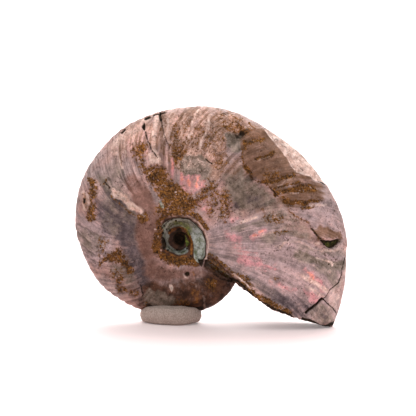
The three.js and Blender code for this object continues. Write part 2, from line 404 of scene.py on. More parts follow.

# Broad glazes that darken or lighten whatever is under them: grime mixed with painted shade, and bleaching
# mixed with painted highlight.
GLAZE_MARKS: dict[Tone | None, tuple[Mark, ...]] = {
    Tone.GRIME_AND_SHADE: (
        # Grime and painted shade: darker in the umbilicus, on the lower flank that faces the table, at the
        # putty and in other dim places.
        Patch(((150, 224), (160, 213), (176, 212), (188, 216), (196, 226), (190, 236), (180, 250), (166, 260),
               (152, 254), (147, 238)), 0.5, 12),
        Patch(((222, 240), (238, 245), (242, 262), (228, 262)), 0.3, 12),
        Patch(((70, 204), (82, 210), (86, 236), (90, 262), (78, 250), (70, 228)), 0.35, 10),
        Patch(((104, 254), (120, 250), (132, 264), (128, 274), (112, 266)), 0.5, 6),
        Patch(((88, 262), (102, 262), (112, 274), (106, 280), (94, 276)), 0.5, 8),
        Patch(((254, 150), (270, 150), (284, 168), (282, 184), (262, 180)), 0.35, 10),
        Patch(((222, 178), (238, 172), (242, 190), (228, 198)), 0.35, 10),
        Patch(((108, 262), (130, 250), (146, 258), (148, 284), (134, 300), (116, 290)), 0.4, 18),
        # Painted contact shadow where the shell sits in the putty.
        Patch(((174, 302), (200, 300), (212, 302), (206, 318), (174, 318)), 0.95, 8),
        Patch(((150, 280), (170, 284), (190, 284), (188, 294), (166, 292)), 0.4, 8),
        Patch(((164, 132), (180, 130), (186, 150), (176, 172), (160, 190), (140, 180), (148, 160)), 0.3, 16),
        Patch(((230, 122), (238, 120), (246, 128), (246, 142), (234, 140)), 0.4, 8),
        Patch(((246, 146), (258, 150), (264, 172), (270, 198), (256, 214), (228, 208), (236, 190),
               (246, 178)), 0.5, 14),
        Patch(((284, 184), (312, 184), (318, 196), (304, 206), (284, 204)), 0.3, 10),
        Patch(((110, 196), (128, 198), (138, 220), (140, 246), (124, 250), (112, 232)), 0.3, 16),
        Patch(((136, 250), (154, 262), (170, 272), (170, 302), (150, 306), (140, 284)), 0.5, 12),
        Patch(((110, 172), (124, 176), (132, 190), (122, 192), (112, 184)), 0.3, 8),
        Patch(((160, 230), (166, 218), (180, 214), (192, 217), (198, 225), (186, 229), (172, 232)), 0.9, 6),
        Patch(((78, 196), (90, 194), (92, 208), (86, 218), (78, 212)), 0.6, 6),
        Patch(((94, 276), (116, 284), (140, 296), (146, 310), (118, 302)), 0.25, 8),
        Patch(((130, 226), (144, 230), (150, 244), (152, 262), (140, 262), (132, 246)), 0.5, 10),
        Patch(((102, 158), (116, 158), (120, 172), (106, 174)), 0.25, 10),
        Patch(((252, 190), (274, 196), (270, 210), (250, 208)), 0.25, 10),
        Patch(((146, 290), (160, 288), (174, 293), (174, 304), (158, 308)), 0.6, 5),
        Stroke(((116, 193), (119, 196)), 2.0, 0.6),
        Stroke(((123, 200), (127, 201)), 2.0, 0.6),
        Stroke(((132, 205), (135, 209)), 1.8, 0.6),
        Stroke(((138, 210),), 2.0, 0.5),
    ),
    Tone.BLEACH_AND_HIGHLIGHT: (
        # Bleaching and painted highlight: lighter on the top of the coil, along its upper rim and in other
        # brightly lit spots.
        Patch(((126, 128), (150, 116), (158, 130), (150, 152), (134, 154)), 0.85, 10),
        Patch(((220, 110), (246, 117), (268, 132), (254, 140), (236, 130)), 0.7, 8),
        Patch(((182, 154), (204, 152), (222, 154), (220, 166), (200, 170), (184, 168)), 0.7, 8),
        Patch(((186, 200), (198, 202), (210, 214), (208, 224), (196, 212)), 0.6, 8),
        Patch(((258, 226), (290, 236), (312, 252), (300, 264), (276, 258), (256, 242)), 0.35, 12),
        Patch(((120, 136), (134, 122), (150, 111), (180, 104), (244, 110), (240, 122), (180, 119), (156, 122),
               (150, 136), (140, 146)), 0.6, 10),
        Patch(((262, 127), (284, 132), (320, 170), (330, 188), (312, 178), (290, 166), (274, 142)), 0.15, 4),
        Patch(((112, 189), (118, 190), (131, 202), (142, 211), (138, 213), (126, 206)), 0.5, 3),
        Patch(((178, 146), (204, 150), (226, 144), (236, 150), (214, 162), (186, 164)), 0.3, 10),
        Patch(((196, 180), (208, 178), (210, 210), (206, 252), (200, 250), (202, 220)), 0.3, 8),
        Patch(((254, 268), (290, 270), (328, 284), (336, 298), (312, 302), (284, 294)), 0.55, 12),
        Patch(((172, 114), (200, 112), (206, 128), (190, 138), (174, 132)), 0.75, 10),
    ),
}

# Rust and ochre crusts on the flank, in the furrows and round the umbilicus.
CRUST_MARKS: dict[Tone | None, tuple[Mark, ...]] = {
    Tone.RUST: (
        Stroke(LAYER_EDGE, 1.8, 0.6, -0.12 * MM, 0.9),
        Patch(((133, 148), (139, 143), (148, 143), (147, 150), (143, 156), (145, 166), (160, 167), (169, 172),
               (173, 180), (180, 186), (186, 191), (198, 198), (203, 204), (190, 214), (176, 216), (160, 216),
               (155, 210), (160, 200), (155, 190), (147, 182), (142, 170), (136, 158)), 1.0, 12),
        Patch(((198, 196), (203, 188), (211, 182), (214, 186), (207, 195), (203, 202)), 0.9),
        Patch(((168, 130), (190, 124), (222, 128), (228, 150), (226, 172), (216, 172), (214, 158), (200, 150),
               (184, 152), (172, 164)), 0.34, 12),
        Patch(((171, 150), (184, 146), (188, 151), (182, 158), (178, 168), (173, 162)), 0.7, 8),
        Patch(((169, 122), (176, 124), (176, 138), (170, 136)), 0.5),
        Patch(((217, 109), (232, 111), (242, 118), (250, 128), (246, 138), (236, 130), (226, 131),
               (218, 122)), 0.42),
        Patch(((226, 124), (236, 120), (246, 126), (248, 138), (238, 134)), 0.7, 8),
        Patch(((88, 176), (95, 178), (97, 190), (96, 200), (91, 196), (89, 186)), 0.9, 5),
        Patch(((90, 206), (97, 203), (97, 216), (92, 221), (85, 216)), 0.9, 6),
        Stroke(((91, 196), (92, 204)), 3.0, 0.7),
        Patch(((137, 214), (146, 213), (146, 218), (140, 224), (136, 221)), 0.9, 2),
        Patch(((109, 253), (119, 252), (126, 258), (131, 268), (124, 268), (116, 262), (107, 263), (98, 267),
               (103, 260)), 0.95, 7),
        Patch(((98, 236), (108, 240), (107, 252), (96, 256)), 0.5),
        Patch(((119, 277), (124, 278), (122, 286), (118, 284)), 0.7, 4),
        Patch(((130, 290), (138, 292), (136, 298), (128, 295)), 0.55, 5),
        Patch(((112, 269), (124, 270), (122, 277), (113, 277)), 0.6),
        Patch(((126, 268), (133, 269), (133, 274), (127, 274)), 0.9, 3),
        Patch(((117, 287), (126, 288), (126, 292), (118, 292)), 0.7, 3),
        Stroke(((118, 279),), 3.0, 0.8),
        Patch(((160, 223), (163, 227), (160, 240), (162, 249), (172, 256), (186, 257), (197, 258), (199, 262),
               (186, 264), (172, 264), (161, 259), (153, 251), (151, 240), (154, 230)), 1.0, 5, 0.12 * MM),
        Stroke(((158, 222), (166, 216), (176, 213), (186, 213), (197, 217), (207, 228)), 5.0, 0.85),
        Stroke(((275, 193), (290, 191), (304, 188), (314, 189)), 5.0, 1.0, -0.15 * MM, 1.2),
        Stroke(((284, 201), (300, 202), (316, 201)), 3.6, 1.0, -0.15 * MM, 1.2),
        Stroke(((302, 208), (313, 207)), 2.6, 0.8),
        Stroke(((262, 183), (276, 180), (294, 175)), 3.2, 1.0, -0.1 * MM, 1.2),
        Stroke(((272, 189), (282, 186), (298, 183)), 2.6, 0.9, -0.1 * MM, 1.2),
        Stroke(((257, 159), (266, 157), (274, 153)), 3.4, 1.0, -0.1 * MM),
        Stroke(((248, 144), (256, 141), (264, 139)), 3.0, 0.8),
        Patch(((262, 172), (276, 170), (279, 180), (264, 182)), 0.6),
        Patch(((252, 137), (263, 137), (262, 143), (252, 143)), 0.5),
        Stroke(((245, 142), (245, 150)), 3.0, 0.8),
        Patch(((205, 182), (216, 184), (218, 200), (214, 216), (206, 212)), 0.6),
        Patch(((219, 190), (228, 194), (231, 210), (228, 221), (220, 218)), 0.7),
        Patch(((264, 213), (281, 214), (282, 221), (268, 221)), 0.6),
        Stroke(((263, 210),), 3.0, 0.7),
        Patch(((274, 229), (288, 230), (288, 234), (276, 234)), 0.6),
        Patch(((235, 272), (246, 274), (255, 286), (251, 291), (240, 282)), 0.85, 5),
        Stroke(((259, 296), (272, 303), (285, 311)), 4.0, 0.8),
        Patch(((268, 277), (279, 277), (279, 282), (269, 282)), 0.35),
        Patch(((174, 299), (190, 300), (189, 307), (176, 307)), 0.7),
        Patch(((147, 300), (152, 304), (150, 308), (146, 304)), 0.5),
        Stroke(((112, 196), (124, 208), (135, 216)), 2.0, 0.6),
        Stroke(((103, 186), (107, 178)), 2.0, 0.5),
        Stroke(((246, 166), (251, 173)), 3.0, 1.0, -0.4 * MM),
        Stroke(((205, 257), (212, 255.5), (222, 263), (234, 274)), 2.6, 0.75, 0.0, 1.2),
        Patch(((207, 280), (216, 281), (215, 291), (207, 288)), 0.75, 6),
        Patch(((208, 262), (214, 261), (226, 271), (234, 278), (226, 277), (214, 271)), 0.6, 4),
        Stroke(((241, 284), (252, 292), (262, 299), (276, 307), (290, 313)), 5.0, 0.9, 0.0, 1.4),
        Stroke(((273, 138), (279, 140), (281, 145), (285, 145), (288, 150)), 1.3, 0.8),
        Stroke(((249, 122), (252, 126), (255, 129)), 1.4, 0.8),
    ),
    Tone.OCHRE: (
        Stroke(((154, 189), (157, 193), (160, 197)), 2.4, 0.6),
        Stroke(((282, 192), (294, 190), (306, 188)), 2.6, 0.4, 0.0, 1.6),
        Stroke(((290, 202), (304, 202), (314, 201)), 2.2, 0.4, 0.0, 1.6),
        Stroke(((169, 233), (175, 229), (184, 228.5), (189.5, 234), (192, 245), (191, 254)), 2.4, 0.8),
        Stroke(((166, 250), (174, 256), (186, 256)), 2.0, 0.6),
        Stroke(((175, 238), (177, 243), (182, 245), (185, 241)), 1.3, 0.6),
        Patch(((189, 288), (198, 290), (199, 301), (192, 303)), 0.45, 7),
        Stroke(((191, 271), (194, 275)), 2.6, 0.5, 0.0, 1.6),
        Patch(((82, 194), (86, 192), (88.4, 200), (87, 208), (82.6, 205)), 0.5, 4, 0.0, 1.0),
    ),
}

# Nacre that shines pink, orange or green, shell that is worn pale, painted highlights on rims and edges, and
# painted glints.
SHINE_MARKS: dict[Tone | None, tuple[Mark, ...]] = {
    Tone.PINK: (
        Patch(((182, 178), (192, 176), (204, 180), (206, 186), (198, 192), (188, 193), (183, 188)), 0.5, 8),
        Stroke(((187, 177), (190, 187)), 3.4, 0.9, 0.0, 1.6),
        Stroke(((196, 178), (198, 186)), 3.0, 0.8, 0.0, 1.6),
        Stroke(((172, 158), (173, 168), (173, 178)), 1.8, 0.65, 0.0, 1.0),
        Stroke(((181, 174), (181, 184)), 3.0, 0.7),
        Patch(((226, 232), (237, 234), (244, 246), (245, 256), (236, 252), (228, 244)), 0.4, 12),
        Patch(((236, 250), (250, 253), (262, 262), (258, 268), (247, 265), (238, 258)), 0.55, 10, 0.0, 2.4),
        Patch(((252, 237), (258, 231), (266, 228), (263, 234), (256, 238)), 0.8, 6, 0.0, 2.0),
        Stroke(((262, 268), (278, 264)), 5.0, 0.4, 0.0, 2.4),
        Patch(((266, 283), (280, 285), (294, 287), (292, 292), (278, 291)), 0.6, 7, 0.0, 2.4),
        Patch(((302, 273), (311, 273), (326, 288), (322, 292), (308, 281)), 0.6, 8, 0.0, 2.0),
        Patch(((303, 289), (314, 293), (323, 298), (314, 300)), 0.5, 8, 0.0, 2.0),
        Patch(((224, 212), (236, 214), (236, 222), (226, 222)), 0.35, 8),
        Patch(((198, 200), (210, 202), (210, 212), (200, 212)), 0.35, 8),
    ),
    Tone.CORAL: (
        Stroke(((187, 180.6), (189.5, 186)), 3.6, 0.6, 0.0, 2.0),
        Stroke(((196, 180), (198, 185)), 2.8, 0.52, 0.0, 2.0),
        Stroke(((181, 175), (181.4, 181)), 1.8, 0.45, 0.0, 1.0),
        Stroke(((172.4, 160), (173, 168)), 1.4, 0.36, 0.0, 1.0),
        Stroke(((255, 235), (263, 230)), 2.6, 0.5, 0.0, 1.6),
        Stroke(((306, 275), (313, 280)), 2.6, 0.5, 0.0, 1.6),
    ),
    Tone.PALE_AND_HIGHLIGHT: (
        Patch(((264, 129), (273, 141), (283, 153), (289, 165), (297, 172), (310, 178), (324, 182), (318, 172),
               (300, 150), (280, 132)), 1.0, 2, -0.2 * MM, 0.8),
        Patch(((110, 188), (118, 189), (131, 201), (142, 211), (138, 213), (125, 207), (115, 197)), 0.7, 4,
              0.1 * MM, 2.4),
        # Painted highlight along the upper-left rim of the coil.
        Patch(((108, 147), (122, 133), (142, 117), (165, 109), (190, 106), (180, 110), (156, 116), (140, 128),
               (124, 142), (112, 158)), 0.6, 10),
        Stroke(((303, 277), (314, 283), (328, 292)), 4.6, 0.6, 0.16 * MM),
        Stroke(((306, 286), (316, 292), (324, 297)), 2.6, 0.5, 0.1 * MM),
        Stroke(((300, 243), (318, 249), (344, 249)), 2.4, 0.5, 0.1 * MM, 1.4),
        Stroke(((246, 239), (262, 235), (276, 230)), 2.4, 0.45, 0.08 * MM, 1.4),
        Stroke(((276, 246), (292, 242), (306, 244)), 2.4, 0.4, 0.08 * MM, 1.4),
        Stroke(((300, 262), (314, 268), (328, 273)), 2.4, 0.4, 0.08 * MM, 1.4),
        Stroke(((280, 248), (284, 243)), 2.2, 0.7),
        Stroke(((315, 243), (319, 243)), 2.4, 0.7),
        Stroke(((326, 261), (331, 262), (332, 266)), 1.8, 0.7),
        # Painted highlight on the rim of the pit below the umbilicus.
        Stroke(((182.6, 273), (184, 278), (188, 279.6)), 1.5, 0.55, 0.12 * MM, 1.0),
        Patch(((80, 192), (87, 190), (91, 199), (89, 209), (82, 207)), 0.6, 4),
        Stroke(((160, 112), (155, 128), (155, 149), (160, 163)), 4.0, 0.8, 0.1 * MM, 1.2),
        Stroke(((171, 112), (167, 126), (170, 142)), 2.6, 0.6, 0.06 * MM, 1.2),
        Stroke(((198, 111), (192, 123), (189, 138)), 3.0, 0.75, 0.08 * MM, 1.2),
        Stroke(((212, 117), (206, 131), (201, 148)), 2.8, 0.7, 0.08 * MM, 1.2),
        Stroke(((184, 112), (180, 124), (181, 136)), 2.2, 0.55, 0.05 * MM, 1.2),
        Stroke(((124, 138), (126, 156)), 1.8, 0.6),
        Stroke(((116, 143), (119, 160), (122, 168)), 1.8, 0.6),
        Stroke(((132, 136), (136, 150)), 1.8, 0.5),
        Stroke(((163, 122), (165, 140)), 1.8, 0.5),
        Stroke(((193, 120), (190, 138)), 1.6, 0.5),
        Patch(((148, 153), (154, 153), (158, 164), (150, 165)), 0.8, 3),
        # Painted highlight along the rim of the umbilical shoulder.
        Stroke(((163, 221), (174, 216), (188, 216.5)), 1.2, 0.4, 0.0, 0.2),
        Stroke(((188, 216.5), (201, 225.5), (208, 242), (207, 255), (202, 265)), 1.5, 0.6, 0.0, 0.2),
        Stroke(((194, 227), (199, 234), (201, 242)), 3.0, 0.4),
        Stroke(((198, 244), (199, 252), (197, 258)), 4.0, 0.5),
        Stroke(((240, 222.5), (257, 217.5)), 2.2, 0.7),
        Patch(((233, 209), (246, 208), (246, 214), (234, 214)), 0.5),
        Stroke(((277, 186), (286, 180), (294, 175.7)), 1.4, 0.45, 0.0, 1.2),
        Stroke(((255, 162), (269, 157)), 1.4, 0.45, 0.0, 1.2),
        Stroke(((287, 194), (297, 193)), 1.5, 0.6, 0.0, 1.2),
        Stroke(((311, 206), (325, 205)), 3.0, 0.45),
        Stroke(((234, 273.5), (251, 289)), 1.4, 0.8),
        # Painted glint, bluish white, below the umbilicus.
        Patch(((169.2, 285), (172.4, 285.4), (171.4, 291.8)), 0.95, 1.6, 0.0, 0.5),
        *strokes(2.0, 0.3, 0.0, 1.6, ((191.5, 282.5), (196, 287)), ((199, 267), (203, 276))),
        # Painted glint on the lower edge above the putty.
        Stroke(((203, 296), (205, 306)), 2.2, 0.45),
        Stroke(((316, 257), (333, 264)), 1.6, 0.6),
        Patch(((324, 299), (336, 312), (332, 322), (322, 324), (308, 318), (312, 309)), 0.35, 3),
        # Painted highlight along the right edge, where the venter turns away.
        Patch(((346, 256), (342, 278), (331, 292), (325, 299), (337, 312), (341, 296), (346, 275)), 0.45, 3),
        *dots(1.0, (148.8, 173.6, 1.6), (155.1, 190.8, 1.6), (175.5, 192.2, 1.6), (155, 228.6, 1.6),
              (158, 236, 1.4), (161, 250, 2.0)),
    ),
    Tone.NACRE: (
        Patch(((162, 226), (174, 218.6), (189, 219.6), (200, 228), (205.6, 242), (204.6, 256), (200, 263),
               (194, 258), (194, 246), (191, 236), (184, 228), (174, 227), (167, 232)), 1.0, 2, 0.0, 0.2),
        Patch(((163, 230), (170, 233), (169, 242), (173, 248), (180, 250), (187, 247), (188, 252), (180, 255),
               (171, 252), (164, 247), (162, 239)), 0.7, 3, 0.0, 0.4),
        Patch(((112, 189), (118, 190), (130, 202), (139, 210), (136, 211), (124, 205)), 0.42, 5, 0.0, 2.4),
        Patch(((158.6, 199), (163, 200), (165, 206), (160.6, 207)), 0.6, 3, 0.0, 1.6),
        # Bluish cast of the painted glint below the umbilicus.
        Patch(((170, 287), (172.4, 287), (171.4, 292)), 0.6, 2, 0.0, 0.5),
    ),
    Tone.GREEN: (
        Patch(((172, 222), (184, 221), (193, 227), (187, 230), (177, 226)), 0.5, 4),
        Patch(((196, 240), (202, 244), (201, 256), (196, 252)), 0.34, 5),
        Patch(((180, 224), (187, 224), (193, 230), (191, 235), (186, 229)), 0.6, 3),
        Patch(((185.5, 236), (188.5, 240), (189, 246), (186.5, 247)), 0.9, 2),
        Patch(((323, 241), (330, 241.5), (338, 240), (337, 243), (330, 247), (326, 246)), 0.36, 2),
        Stroke(((211, 265), (220, 271), (229, 278)), 3.0, 0.3),
    ),
}

# Chips, cracks, pits, painted shade in the furrows, seams and hollows and under the lip, and relief with no
# colour of its own.
CUT_MARKS: dict[Tone | None, tuple[Mark, ...]] = {
    None: (
        Patch((*LAYER_EDGE, (352, 244), (342, 200), (326, 184), (310, 178), (297, 172), (289, 165),
               (283, 153), (273, 141), (262, 128), (243, 131)), 1.0, 1.4, 0.32 * MM, 0.8),
        Patch(((206, 260), (213, 259.5), (224, 269), (233, 277.5), (239, 283), (230, 279), (218, 271),
               (208, 266)), 1.0, 3, -1.0 * MM, 0.8),
    ),
    Tone.DARK: (
        Stroke(((270, 188), (276, 194), (278, 196)), 1.6, 0.7),
        Stroke(((312, 229), (316, 234), (321, 239)), 1.6, 0.7),
        # Painted shade in the seam along the top of the umbilicus.
        Stroke(((165, 221), (178, 216.6), (190, 218.6)), 2.6, 0.45, 0.0, 0.6),
        Stroke(((313, 279.6), (320, 284), (328, 289)), 1.4, 0.35, -0.1 * MM, 0.8),
        # Dark fill and painted shade deep in the middle of the umbilicus.
        Patch(((172, 238), (174, 232), (180, 229.5), (186, 233), (187.5, 240), (184.5, 246), (179, 248.5),
               (174, 245)), 0.9, 4),
        Stroke(((180, 237.5),), 6.0, 1.0, -0.3 * MM),
        # Painted shade in the seam that spirals round the umbilicus.
        Stroke(((161, 230), (168, 222), (178, 218), (190, 220), (200, 229), (205.5, 242), (204.5, 256),
                (201, 264)), 1.1, 0.75, 0.0, 0.2),
        *dots(1.0, (170.5, 230.5, 2.0), (162.4, 233, 2.6), (168, 250, 2.2), (176.5, 250, 1.8),
              (187, 249, 2.0), (190, 256, 1.8), (158.5, 228, 2.0), (154, 237, 1.8), (157, 252, 2.0)),
        *dots(0.9, (164.6, 226.6, 2.2), (166.6, 229.6, 2.0), (176.6, 221, 2.6)),
        *dots(0.8, (179.6, 223.4, 1.6)),
        *dots(0.7, (304, 293.4, 2.0)),
        *dots(0.6, (338, 264.6, 1.8), (333, 276, 1.8)),
        *dots(0.5, (276, 233, 2.2)),
        Stroke(((163, 239), (164.6, 246)), 3.8, 0.95, 0.0, 1.2),
        Patch(((197, 259), (203.6, 260), (202, 265.4), (199, 264)), 0.75, 2),
        Patch(((144.3, 120.6), (140.7, 126.1), (144.3, 129.2)), 1.0, 1.6, -0.6 * MM, 0.5),
        Stroke(((144.8, 130), (149.7, 141.5), (151.5, 146.9), (157, 157.3)), 1.3, 0.85, -0.25 * MM, 0.9),
        Stroke(((160.6, 161.4), (164.2, 175.9)), 1.2, 0.4),
        Stroke(((159.7, 110.7), (160.6, 119.3)), 2.0, 1.0, -0.4 * MM),
        Stroke(((160.6, 119.3), (164.2, 134.2), (169.6, 147.8)), 1.2, 0.7, -0.1 * MM),
        Stroke(((145, 118.4), (150, 116.2)), 1.8, 1.0, -0.3 * MM),
        Stroke(((154, 114.8), (160, 113.2), (165, 112.4)), 1.6, 1.0, -0.3 * MM),
        Stroke(((122, 132.5), (124.5, 130)), 2.2, 1.0, -0.3 * MM),
        Stroke(((206, 159), (212.4, 163.7)), 1.5, 0.9, -0.15 * MM),
        Stroke(((184.6, 160), (183.6, 176)), 1.5, 0.42, -0.05 * MM, 0.8),
        Stroke(((192, 158), (191.6, 176)), 1.3, 0.4, -0.05 * MM, 0.8),
        Stroke(((200, 163), (199, 174)), 1.2, 0.36, 0.0, 0.8),
        Patch(((235, 133), (239, 131), (243, 132), (242, 136), (241, 140), (239, 136)), 0.75, 3,
              -0.6 * MM, 3.0),
        Patch(((249, 174), (254, 176), (257, 181), (252, 183), (249, 179)), 0.5, 3, -0.4 * MM),
        Stroke(((281.6, 246.6),), 2.2, 0.6, -0.2 * MM),
        Stroke(((317, 246.4),), 2.6, 0.5, -0.25 * MM),
        Stroke(((328.6, 264.4),), 2.4, 0.7, -0.25 * MM),
        Stroke(((284, 231), (288, 232)), 2.6, 0.5),
        Patch(((321, 240), (329, 240.5), (338.5, 239), (338, 243), (333, 247.5), (326, 246.5)), 1.0, 2,
              -1.2 * MM, 0.6),
        Stroke(((345.6, 257.6), (342.8, 266.8), (341, 277.9), (337.3, 285.3), (329.9, 291.8), (326.2, 297.3),
                (322.5, 299.2)), 1.2, 0.8, -0.3 * MM, 0.8),
        Stroke(((322.5, 299.2), (314.2, 306.6), (306.8, 312.1)), 2.5, 1.0, -0.7 * MM),
        Stroke(((323.4, 299.2), (336.4, 313)), 1.1, 0.9, -0.15 * MM),
        # The pit below the umbilicus, cut in and painted dark as the shade inside it.
        Stroke(((187, 274.4),), 4.6, 1.0, -0.7 * MM),
        # Dark matrix in the hollow under the lip, deepened with painted shade.
        Patch(((205, 259.5), (213, 258.5), (224, 267), (234, 276), (240, 284.5), (233, 283), (222, 279),
               (212, 273.5), (205, 266)), 0.4, 3, 0.0, 1.0),
        Stroke(((208, 263), (211, 268)), 3.6, 0.4, 0.0, 1.2),
        Stroke(((214, 274.6), (221, 278.6), (230, 282)), 1.8, 0.8, 0.0, 1.2),
        Patch(((229, 276.5), (234, 278.5), (240, 285), (232, 282)), 1.0, 2),
        # Painted contact shadow where the shell sits in the putty.
        Stroke(((148, 305), (160, 310), (180, 312), (202, 308)), 4.0, 0.7),
        Stroke(((139.7, 286), (142, 291), (144, 295), (143, 298)), 1.8, 0.7, -0.2 * MM, 1.4),
        Stroke(((170, 293), (173, 297), (174, 303)), 2.2, 0.4, 0.0, 1.6),
        Stroke(((104.4, 182.2), (109.9, 188.6)), 1.5, 0.8),
        # Painted shade along the lower edge of the lip and its tip, which face the table.
        Stroke(((239, 284), (262, 302.5), (285, 313.5), (300, 319)), 2.6, 0.9, 0.0, 1.0),
        Stroke(((304, 318), (320.6, 325.8), (326, 327), (334.5, 322)), 2.8, 0.9, 0.0, 0.8),
        Stroke(((84.5, 199), (84.5, 202)), 2.2),
        Stroke(((303, 257), (318, 255.5), (334, 262), (341, 266)), 2.6, 0.4),
        Stroke(((318.8, 181.3), (324.3, 184)), 1.6, 1.0, -0.3 * MM),
        *strokes(2.4, 0.45, -0.35 * MM, 1.0, ((78, 223), (86, 229), (97.2, 234.9), (109.9, 237.6)),
                 ((77, 232), (86.3, 240.4), (98, 247.6)), ((79, 243), (88.1, 251.2), (96.3, 255.8)),
                 ((82, 253), (93.6, 262.1)), ((87, 262.1), (95.4, 267.5))),
        Stroke(((92, 220), (104, 227), (114, 229)), 2.0, 0.4, -0.2 * MM, 1.0),
    ),
}

FRONT_MARKS = GROUND_MARKS | GLAZE_MARKS | CRUST_MARKS | SHINE_MARKS | CUT_MARKS


@dataclass(frozen=True)
class Coil:
    """The spiral that the shell follows, with turn 0 at the aperture and turn -1 one turn earlier."""

    axis: Vector = field(default_factory=lambda: Vector((-7.18 * MM, 0, 20.3 * MM)))
    aperture_radius: float = 43.0 * MM
    aperture_heading: float = math.radians(-35.0)
    growth: float = 2.577
    turns: int = 3
    surges: tuple[tuple[float, int, float], ...] = ((0.038, 1, -0.38), (0.024, 2, -0.013))
    swells: tuple[tuple[float, float, float], ...] = (
        (0.025, -0.944, 0.05), (0.011, -0.694, 0.07), (-0.0105, -0.458, 0.028), (-0.017, -0.236, 0.028),
        (0.0115, -0.119, 0.033),
    )
    half_breadth: float = 9.4 * MM
    breadth_power: float = 0.82
    first_chamber: tuple[float, float, float] = (1.5 * MM, 0.7 * MM, 1.5 * MM)
    umbilical_edge: float = 0.168
    wall_foot: float = 0.138
    fullest: float = 0.24
    flank_flatness: float = 2.35
    venter_roundness: float = 1.75
    shoulder: tuple[Spot, ...] = ((0.5, 0.98), (0.16, 0.965), (0.0, 0.93))
    wall: tuple[Spot, ...] = ((0.5, 0.81), (0.12, 0.55), (0.0, 0.28))
    rib_lean: float = 0.03
    rib_bow: float = 0.012

    def venter_radius(self, turn: Any) -> Any:
        """Distance from the coil axis to the outer edge at a turn, or at an array of turns."""
        surge = sum(share * np.cos(TAU * waves * (turn - crest)) for share, waves, crest in self.surges)
        swell = sum(share * np.exp(-(((turn - crest) / spread) ** 2)) for share, crest, spread in self.swells)
        return self.aperture_radius * self.growth**turn * np.exp(surge + swell)

    def half_section(self, flank_steps: int) -> list[Spot]:
        """One side of the whorl's section at the aperture.

        Args:
            flank_steps: Points on the outer flank.

        Returns:
            Reach and breadth of each point, from the venter to the foot of the umbilical wall.
        """
        radius, breadth = self.venter_radius(0.0), self.half_breadth
        edge, foot = self.umbilical_edge * radius, self.wall_foot * radius
        fullest = edge + self.fullest * (radius - edge)
        points = []
        for step in range(flank_steps + 1):
            angle = math.pi / 2 * (1 - step / flank_steps)
            outward = math.sin(angle) ** (2 / self.flank_flatness)
            sideways = max(math.cos(angle), 0.0) ** (2 / self.venter_roundness) if step else 0.0
            points.append((fullest + (radius - fullest) * outward, breadth * sideways))
        points += [(edge + share * (fullest - edge), breadth * wide) for share, wide in self.shoulder]
        points += [(foot + share * (edge - foot), breadth * wide) for share, wide in self.wall]
        return points

    def locate(self, points: np.ndarray) -> tuple[np.ndarray, np.ndarray]:
        """Where points of the shell lie on the coil.

        Args:
            points: Rows of x, y and z.

        Returns:
            The turn, and the share of the flank from the umbilical shoulder, 0, to the venter, 1.
        """
        across, up = points[:, 0] - self.axis.x, points[:, 2] - self.axis.z
        reach = np.hypot(across, up)
        ahead = (self.aperture_heading - np.arctan2(up, across)) / TAU
        turn = ahead - np.ceil(ahead)
        for _ in range(self.turns - 1):
            turn = np.where(reach < self.umbilical_edge * self.venter_radius(turn), turn - 1, turn)
        radius = self.venter_radius(turn)
        edge = self.umbilical_edge * radius
        return turn, np.clip((reach - edge) / (radius - edge), 0.0, 1.1)

    def strata(self, turn: np.ndarray, share: np.ndarray) -> np.ndarray:
        """The turn at which each point was at the growing lip, which leans and bows as the ribs do."""
        return turn - self.rib_lean * share**3 + self.rib_bow * np.sin(math.pi * np.clip(share, 0, 1))


class Workbench:
    """The few hand moves that every piece is made with."""

    @staticmethod
    def clear() -> None:
        """Leaves object mode with nothing selected."""
        if bpy.context.object and bpy.context.object.mode != "OBJECT":
            bpy.ops.object.mode_set(mode="OBJECT")
        bpy.ops.object.select_all(action="DESELECT")

    @staticmethod
    def points(piece: bpy.types.Object) -> np.ndarray:
        """The piece's vertices, as rows of x, y and z."""
        flat = np.empty(3 * len(piece.data.vertices), np.float32)
        piece.data.vertices.foreach_get("co", flat)
        return flat.reshape(-1, 3).astype(float)

    @staticmethod
    def move_points(piece: bpy.types.Object, points: np.ndarray) -> None:
        """Puts the piece's vertices at new places."""
        piece.data.vertices.foreach_set("co", points.astype(np.float32).ravel())
        piece.data.update()

    @staticmethod
    def normals(piece: bpy.types.Object) -> np.ndarray:
        """The piece's vertex normals, as rows of x, y and z."""
        flat = np.empty(3 * len(piece.data.vertices), np.float32)
        piece.data.vertex_normals.foreach_get("vector", flat)
        return flat.reshape(-1, 3).astype(float)

    @staticmethod
    def pick_points(piece: bpy.types.Object, chosen: np.ndarray) -> None:
        """Selects vertices in edit mode.

        Args:
            piece: The active object.
            chosen: True for each vertex to select.
        """
        bpy.ops.object.mode_set(mode="EDIT")
        bpy.ops.mesh.select_mode(type="VERT")
        bpy.ops.mesh.select_all(action="DESELECT")
        bpy.ops.object.mode_set(mode="OBJECT")
        piece.data.vertices.foreach_set("select", chosen)
        bpy.ops.object.mode_set(mode="EDIT")

    @staticmethod
    def apply(piece: bpy.types.Object, kind: str, **settings: Any) -> None:
        """Adds a modifier and applies it.

        Args:
            piece: The active object.
            kind: The modifier's type.
            settings: Its properties.
        """
        modifier = piece.modifiers.new(kind.title(), kind)
        for name, value in settings.items():
            setattr(modifier, name, value)
        bpy.ops.object.modifier_apply(modifier=modifier.name)

    @staticmethod
    def store(piece: bpy.types.Object, name: str, values: np.ndarray) -> None:
        """Keeps one value, or one row of three, for each vertex as an attribute of the mesh."""
        kind, key = ("FLOAT", "value") if values.ndim == 1 else ("FLOAT_VECTOR", "vector")
        attribute = piece.data.attributes.new(name, kind, "POINT")
        attribute.data.foreach_set(key, values.astype(np.float32).ravel())


